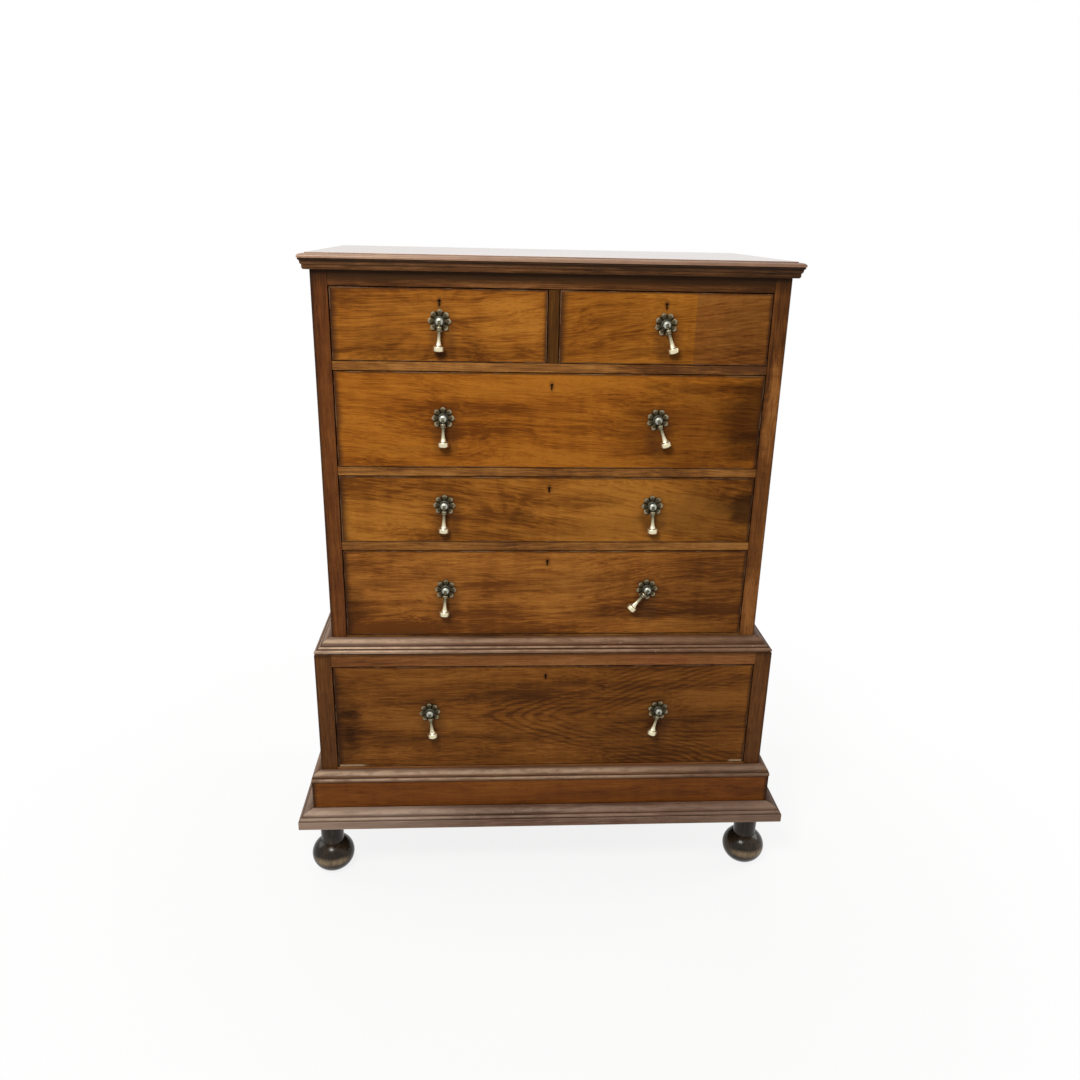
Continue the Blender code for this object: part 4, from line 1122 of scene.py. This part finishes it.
def makeFeet(part):
    ball, neck, top, sole = (part[key] / 2 for key in ("ball", "neck", "top", "sole"))
    rise = part["rise"]
    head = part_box("base_frame")[0].z - hair
    centre = rise * math.sqrt(1 - (sole / ball) ** 2)
    first = math.acos(neck / ball)
    last = math.asin(-centre / rise)
    crease = centre + rise * math.sin(first)
    cove = (top - part["coveIn"], head - part["topHeight"])
    points = [(0.0, head, 0.0)]
    points += [(top - inward, head - down, proud) for inward, down, proud in bandLine]
    points += curveTo(cove, (neck, crease + part["crease"]), hollow=True, steps=12)
    points.append((neck, crease, -1.0))
    for step in range(1, part["steps"]):  # the ball, with a pale band round its middle: wear with a painted reflection of the floor
        turned = first + (last - first) * step / part["steps"]
        proud = part["wear"] * math.exp(-((turned - part["paleBandAt"]) / part["paleBandSpread"]) ** 2)
        points.append((ball * math.cos(turned), centre + rise * math.sin(turned), proud))
    points += [(sole, 0.0, 0.6), (0.0, 0.0, 0.0)]
    rub, start = part["rub"]
    for row in ("front", "back"):
        for side in ("left", "right"):
            node = f"foot_{row}_{side}"
            low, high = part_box(node)
            mesh = latheMesh(f"turned_{node}", points, part["turns"])
            for vert, mark in zip(mesh.vertices, mesh.attributes["proud"].data):
                if mark.value > 0:  # the pale band stays on the front of the ball: shoe wear with the painted reflection
                    mark.value *= min(1.0, max(0.0, -rub * vert.co.y / ball - start))
            mesh.transform(Matrix.Translation(((low.x + high.x) / 2, (low.y + high.y) / 2, 0.0)))
            addPiece(f"turned_{node}", mesh, "carcase", woods["foot"], "feet", node)


makeFeet(footPart)
print("feet made")


# Drop handles

rosePart = {
    "petals": 8, "radius": 0.022, "under": 0.0015, "lobe": 0.004, "rim": 0.0011, "swell": 0.0026,
    "cup": (0.12, 0.62), "vein": 0.0005, "veinWidth": 0.13, "tip": 0.0007, "tipFrom": 0.7, "rub": 1.1,
    "rubFrom": 0.62, "groove": 0.9, "heart": 0.35, "perPetal": 14, "rings": 16,
}
bossPart = {
    "radius": 0.0075, "length": 0.0157, "dome": 0.0042, "pinOut": 0.0112, "pinDrop": 0.002,
    "pinShare": 0.86, "turns": 48,
}
stemPart = {"radius": 0.0025, "tail": 0.006, "shy": 0.001, "nut": 0.0115, "nutThick": 0.0036}
dropPart = {
    "length": 0.0532, "eye": 0.0075, "eyeWidth": 0.005, "shank": 0.0046, "collarTop": 0.0078,
    "collar": 0.011, "collarHeight": 0.009, "neck": 0.0066, "flare": 0.0185, "bulb": 0.0214,
    "bulbHeight": 0.0102, "bulbRound": 0.002, "pin": 0.0024, "turns": 40,
}
# Share of the collar, way down from its top, proud
collarLine = (
    (0.86, -0.0006, -0.3), (1.0, 0.0008, 0.2), (0.98, 0.0024, 0.0), (0.84, 0.0034, -0.9), (0.9, 0.0046, 0.0),
    (0.84, 0.0062, -0.2),
)
# Way out from the boss, height, proud
flangeLine = (
    (0.0, 0.0066, 0.1), (0.0003, 0.0058, -0.9), (0.0009, 0.0055, -0.5), (0.0019, 0.0046, -0.1),
    (0.0013, 0.0036, -0.6), (-0.0006, 0.003, -1.0), (-0.0006, hair, -1.0),
)
handleTilt = {}
handleSpots = {}
for joint in frame["record"]["behaviour"]["joints"]:
    if joint["name"].endswith("_pendant_swing"):
        name = joint["name"][: -len("_pendant_swing")]
        axis = Vector(joint["axis"])
        tilt = math.atan2(-axis.z, -axis.x)
        down = Vector((math.sin(tilt), 0.0, -math.cos(tilt)))
        handleTilt[name] = tilt
        pin = Vector(joint["pos_m"])
        handleSpots[name] = pin - down * bossPart["pinDrop"] + Vector((0.0, bossPart["pinOut"], 0.0))


def drawerOf(handle):
    return handle if handle in drawerNames else handle.rsplit("_", 1)[0]


def roseMesh(part, boss):
    # A stamped rosette: cupped petals with a vein and a lifted tip, parted by grooves. It faces -Y.
    count = part["petals"] * part["perPetal"]
    start = boss["radius"] - part["under"]
    cupFrom, cupRun = part["cup"]
    middle = part["radius"] - part["lobe"] / 2
    rings = []
    for number in range(part["rings"] + 1):
        share = number / part["rings"]
        tip, rub = (max(0.0, (share - part[key]) / (1 - part[key])) for key in ("tipFrom", "rubFrom"))
        ring = []
        for step in range(count):
            angle = 2 * math.pi * step / count
            rim = middle + part["lobe"] / 2 * math.cos(part["petals"] * angle)
            petal = (angle * part["petals"] / (2 * math.pi) + 0.5) % 1.0 - 0.5
            across = abs(petal) * 2
            radius = start + (rim - start) * share
            cup = math.sin(math.pi * (cupFrom + cupRun * share)) * (1 - across ** 5)
            ridge = math.exp(-((petal * 2) / part["veinWidth"]) ** 2)
            vein = part["vein"] * ridge * math.sin(math.pi * share)
            height = part["rim"] + part["swell"] * cup + vein + part["tip"] * tip * (1 - across ** 3)
            proud = part["rub"] * rub * (1 - across ** 2)
            proud -= part["groove"] * across ** 4 + part["heart"] * (1 - share)
            ring.append(((radius * math.sin(angle), -height, radius * math.cos(angle)), proud))
        rings.append(ring)
    bore, hem = ([((x, -hair, z), 0.0) for (x, y, z), proud in ring] for ring in (rings[0], rings[-1]))
    return ringMesh("rose", [bore, *rings, hem], 50.0, looped=True)


def bossMesh(part, drop):
    # The domed boss on its flange, slotted for the eye of the drop
    radius, length = part["radius"], part["length"]
    shoulder = length - part["dome"]
    crown = curveTo((radius, shoulder), (0.0, length), steps=12)
    points = [(0.0, length, 0.9)]
    points += [(out, up, 0.75) for out, up, proud in reversed(crown[:-1])]
    points.append((radius, shoulder, 0.6))
    points += [(radius + out, up, proud) for out, up, proud in flangeLine]
    points.append((0.0, hair, 0.0))
    mesh = latheMesh("boss", points, part["turns"])
    mesh.transform(Matrix.Rotation(math.pi / 2, 4, "X"))
    half = drop["eyeWidth"] / 2 + hair
    room = drop["eye"] / 2 + hair
    low = (-half, -2 * length, -part["pinDrop"] - 2 * radius)
    slotCut = boxMesh("slot", low, (half, -part["pinOut"] + room, -part["pinDrop"] + room))
    pin = rodMesh("pin", drop["pin"] / 2, 2 * radius * part["pinShare"], 20)
    pin.transform(Matrix.Translation((0.0, -part["pinOut"], -part["pinDrop"])))
    return carve("boss", mesh, [("DIFFERENCE", slotCut), ("UNION", pin)])


def dropMesh(part):
    # The turned drop under its eye, hanging from the pin at the origin
    shank, collar, neck, bulb = (part[key] / 2 for key in ("shank", "collar", "neck", "bulb"))
    top = -part["collarTop"]
    foot = top - part["collarHeight"]
    sole = -part["length"]
    bulbTop = sole + part["bulbHeight"]
    flareTop = bulbTop + part["flare"]
    shoulder = bulb - part["bulbRound"]
    brow = (bulb, bulbTop - part["bulbRound"])
    points = [(0.0, -0.001, -0.6), (shank, -0.001, -0.6), (shank, top + 0.0008, -0.9)]
    points += [(collar * share, top - down, proud) for share, down, proud in collarLine]
    points.append((neck * 1.08, foot + 0.001, -0.6))
    points += [(neck, foot, -0.3), (neck * 0.98, (foot + flareTop) / 2, 0.0)]
    flare = curveTo((shoulder, bulbTop), (neck, flareTop), hollow=True, steps=14)
    points += [(out, up, 0.2 + 0.6 * (flareTop - up) / part["flare"]) for out, up, proud in reversed(flare)]
    points.append((shoulder, bulbTop, 0.8))
    points += [(out, up, 0.9) for out, up, proud in curveTo(brow, (shoulder, bulbTop))[::-1][1:]]
    points += [(*brow, 0.9), (bulb, sole + part["bulbRound"], 0.8)]
    points += curveTo(points[-1], (shoulder, sole))
    points += [(shoulder * 0.6, sole - 0.0003, 0.2), (0.0, sole, 0.0)]
    mesh = latheMesh("drop", points, part["turns"])
    eye = rodMesh("eye", part["eye"] / 2, part["eyeWidth"], 32)
    hole = rodMesh("hole", part["pin"] / 2 + hair, 2 * part["eyeWidth"], 24)
    return carve("drop", mesh, [("UNION", eye), ("DIFFERENCE", hole)])


def nutMesh(part, thick):
    # Square nut on the end of the stem, behind the front
    half = part["nut"] / 2
    nut = boxMesh("nut", (-half, thick + hair, -half), (half, thick + part["nutThick"], half))
    stem = rodMesh("stem", part["radius"], thick + part["tail"] - part["shy"], 24)
    stem.transform(Matrix.Rotation(math.pi / 2, 4, "Z"))
    stem.transform(Matrix.Translation((0.0, (thick + part["tail"]) / 2, 0.0)))
    return carve("nut", nut, [("UNION", stem)])


def makeHandles():
    frontLow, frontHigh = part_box("drawer_front_stand")
    rose = roseMesh(rosePart, bossPart)
    boss = bossMesh(bossPart, dropPart)
    drop = dropMesh(dropPart)
    nut = nutMesh(stemPart, frontHigh.y - frontLow.y)
    hang = Matrix.Translation((0.0, -bossPart["pinOut"], -bossPart["pinDrop"]))
    fixed = (("rose", rose, "roseBronze"), ("boss", boss, "bossBrass"), ("nut", nut, "lockIron"))
    for name, place in handleSpots.items():
        stand = Matrix.Translation(place) @ Matrix.Rotation(-handleTilt[name], 4, "Y")
        body = "drawer_" + drawerOf(name)
        for kind, shape, metal in fixed:
            mesh = copyAt(shape, stand)
            addPiece(f"{kind}_{name}", mesh, body, metals[metal], "roses", "backplate_" + name)
        mesh = copyAt(drop, stand @ hang)
        pendant = "pendant_" + name
        addPiece(f"drop_{name}", mesh, pendant, metals["pendantBrass"], "pendants", pendant)


makeHandles()
print("handles made:", len(handleSpots))


# Locks behind the keyholes

lockPart = {
    "width": 0.062, "height": 0.04, "depth": 0.011, "plate": 0.0018, "plateOver": 0.009, "lip": 0.0002,
    "fromTop": 0.0015, "arris": 0.0006, "screw": 0.0032, "screwTurn": 0.7, "screwOut": (0.5, 0.4),
    "screwSpots": ((-1, -0.15), (1, -0.15), (-1, -1.0), (1, -1.0)),
    "screwSlot": ((-0.01, -0.0005, 0.0008), (0.01, 0.0005, 0.01)),
}
# Share of the radius, height, proud
screwLine = ((0.0, 0.0016, 0.9), (0.6, 0.0013, 0.9), (1.0, 0.0004, 0.5), (1.0, 0.0, 0.0), (0.0, 0.0, 0.0))
lie = Matrix.Rotation(-math.pi / 2, 4, "X")  # turns a head that is made upright to face +Y


def makeLocks(part):
    half, over = part["width"] / 2, part["plateOver"]
    aside, below = (over * share for share in part["screwOut"])
    points = [(part["screw"] * share, up, proud) for share, up, proud in screwLine]
    cut = boxMesh("cut", *part["screwSlot"])
    screwHead = carve("screw", latheMesh("screw", points, 20), [("DIFFERENCE", cut)])
    for drawer in drawerNames:
        low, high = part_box("drawer_front_" + drawer)
        body = "drawer_" + drawer
        x = (low.x + high.x) / 2
        top = high.z - part["fromTop"]
        foot = top - part["height"]
        inside = high.y + hair
        face = inside + part["plate"]
        case = boxMesh("lock", (x - half, inside, foot), (x + half, inside + part["depth"], top))
        reach = half + over
        plate = boxMesh("plate", (x - reach, inside, foot - over), (x + reach, face, top + part["lip"]))
        mesh = carve("lock", case, [("UNION", plate)])
        addPiece("lock_" + drawer, mesh, body, metals["lockIron"], "roses", arris=part["arris"])
        for index, (across, down) in enumerate(part["screwSpots"]):
            place = (x + across * (half + aside), face, top + down * (part["height"] + below))
            turn = Matrix.Rotation(part["screwTurn"] * index, 4, "Z")
            head = copyAt(screwHead, Matrix.Translation(place) @ lie @ turn)
            addPiece(f"lock_screw_{drawer}_{index + 1}", head, body, metals["lockIron"], "roses")


makeLocks(lockPart)
print("locks made")


# Back boards: upright planks, nailed at their ends

backPart = {
    "planks": 5, "gap": 0.0008, "arris": 0.0014, "shy": 0.0006, "nail": 0.0028, "nailIn": 0.012,
    "nailShare": 0.2,
}
# Share of the radius, height, proud
nailLine = ((0.0, 0.0006, 0.9), (0.7, 0.0005, 0.6), (1.0, 0.0, 0.2), (1.0, -0.001, 0.0), (0.0, -0.001, 0.0))


def makeBack(node, part):
    low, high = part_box(node)
    width = (high.x - low.x) / part["planks"]
    face = high.y - part["shy"]
    points = [(part["nail"] * share, up, proud) for share, up, proud in nailLine]
    nailHead = latheMesh("nail", points, 14)
    for number in range(part["planks"]):
        left = low.x + number * width + part["gap"] / 2
        right = low.x + (number + 1) * width - part["gap"] / 2
        name = f"{node}_plank_{number + 1}"
        mesh = boxMesh(name, (left, low.y, low.z), (right, face, high.z))
        addPiece(name, mesh, "carcase", pines["backPine"], "inner_boards", node, arris=part["arris"])
        inset = width * part["nailShare"]
        for level, z in (("foot", low.z + part["nailIn"]), ("head", high.z - part["nailIn"])):
            for place, x in (("a", left + inset), ("b", right - inset)):
                head = copyAt(nailHead, Matrix.Translation((x, face, z)) @ lie)
                nailName = f"{node}_nail_{number + 1}_{level}_{place}"
                addPiece(nailName, head, "carcase", metals["lockIron"], "inner_boards")


makeBack("upper_back", backPart)
makeBack("stand_back", backPart)
print("back boards made")


# Boards that stay as the frame has them

boardArris = {"wood": 0.0009, "front": 0.0008, "pine": 0.0006}
boardFinish = {
    "upper_stile_left": "leftStile", "upper_stile_right": "rightStile", "upper_side_left": "side",
    "upper_side_right": "side", "stand_side_left": "side", "stand_side_right": "side",
    "upper_top_rail": "topRail", "short_drawer_divider": "divider",
}
pineFinish = {
    "dust_board_lower": "facedBoard", "dust_board_middle": "facedBoard", "dust_board_upper": "facedBoard",
    "upper_floor": "facedBoard", "stand_top_board": "boardPine", "stand_dust_board": "boardPine",
}


def dress(node, material, kind):
    thing = nodes[node]
    thing.data.materials.clear()
    thing.data.materials.append(material)
    weld = thing.modifiers.new("weld", "WELD")
    weld.merge_threshold = 0.00001
    soften(thing, boardArris[kind])


for node, finish in boardFinish.items():
    dress(node, woods[finish], "wood")
for node, finish in pineFinish.items():
    dress(node, pines[finish], "pine")
for drawer in drawerNames:
    dress("drawer_front_" + drawer, frontMaterial(drawer), "front")
    dress("drawer_box_" + drawer, pines["drawerPine"], "pine")
print("boards dressed")


# Floor and surroundings

stageSet = {
    "half": 9.0, "drop": 0.0002, "floor": (0.86, 0.86, 0.86), "rough": 0.9, "ambient": 0.24,
    "shown": 0.86, "clear": (0.75, 1.5),
}
white = (1.0, 1.0, 1.0)


def seenRays(w):
    light = w.place("LightPath").outputs
    return w.most(light["Is Camera Ray"], light["Is Glossy Ray"], light["Is Transmission Ray"])


def makeStage(setting):
    bm = bmesh.new()
    bmesh.ops.create_grid(bm, x_segments=1, y_segments=1, size=setting["half"])
    mesh = bpy.data.meshes.new("floor")
    bm.to_mesh(mesh)
    bm.free()
    floor = addObject("floor", mesh)
    floor.location.z = -setting["drop"]
    material, w, shader, spot = newMaterial("paleFloor")
    shader.inputs["Base Color"].default_value = (*setting["floor"], 1.0)
    shader.inputs["Roughness"].default_value = setting["rough"]
    shader.inputs["Specular IOR Level"].default_value = 0.0
    glow = w.place("Emission", Color=white, Strength=1.0)
    # The shadow lies round the chest
    plain = w.ease(w.vector("LENGTH", spot), *setting["clear"], setting["shown"], 1.0)
    blend = w.place("MixShader", (), w.times(seenRays(w), plain), shader.outputs[0], glow.outputs[0])
    w.put(material.node_tree.nodes["Material Output"].inputs["Surface"], blend.outputs[0])
    mesh.materials.append(material)

    world = bpy.data.worlds.new("paleRoom")
    scene.world = world
    world.use_nodes = True
    w = Wires(world.node_tree)
    back = world.node_tree.nodes["Background"]
    w.put(back.inputs["Color"], white)
    w.put(back.inputs["Strength"], w.ease(seenRays(w), 0.0, 1.0, setting["ambient"], 1.0))


makeStage(stageSet)
makeCamera(cameraSet)
for name, values in lampSet.items():
    makeLamp(name, *values)
print("stage, lamps and camera set")
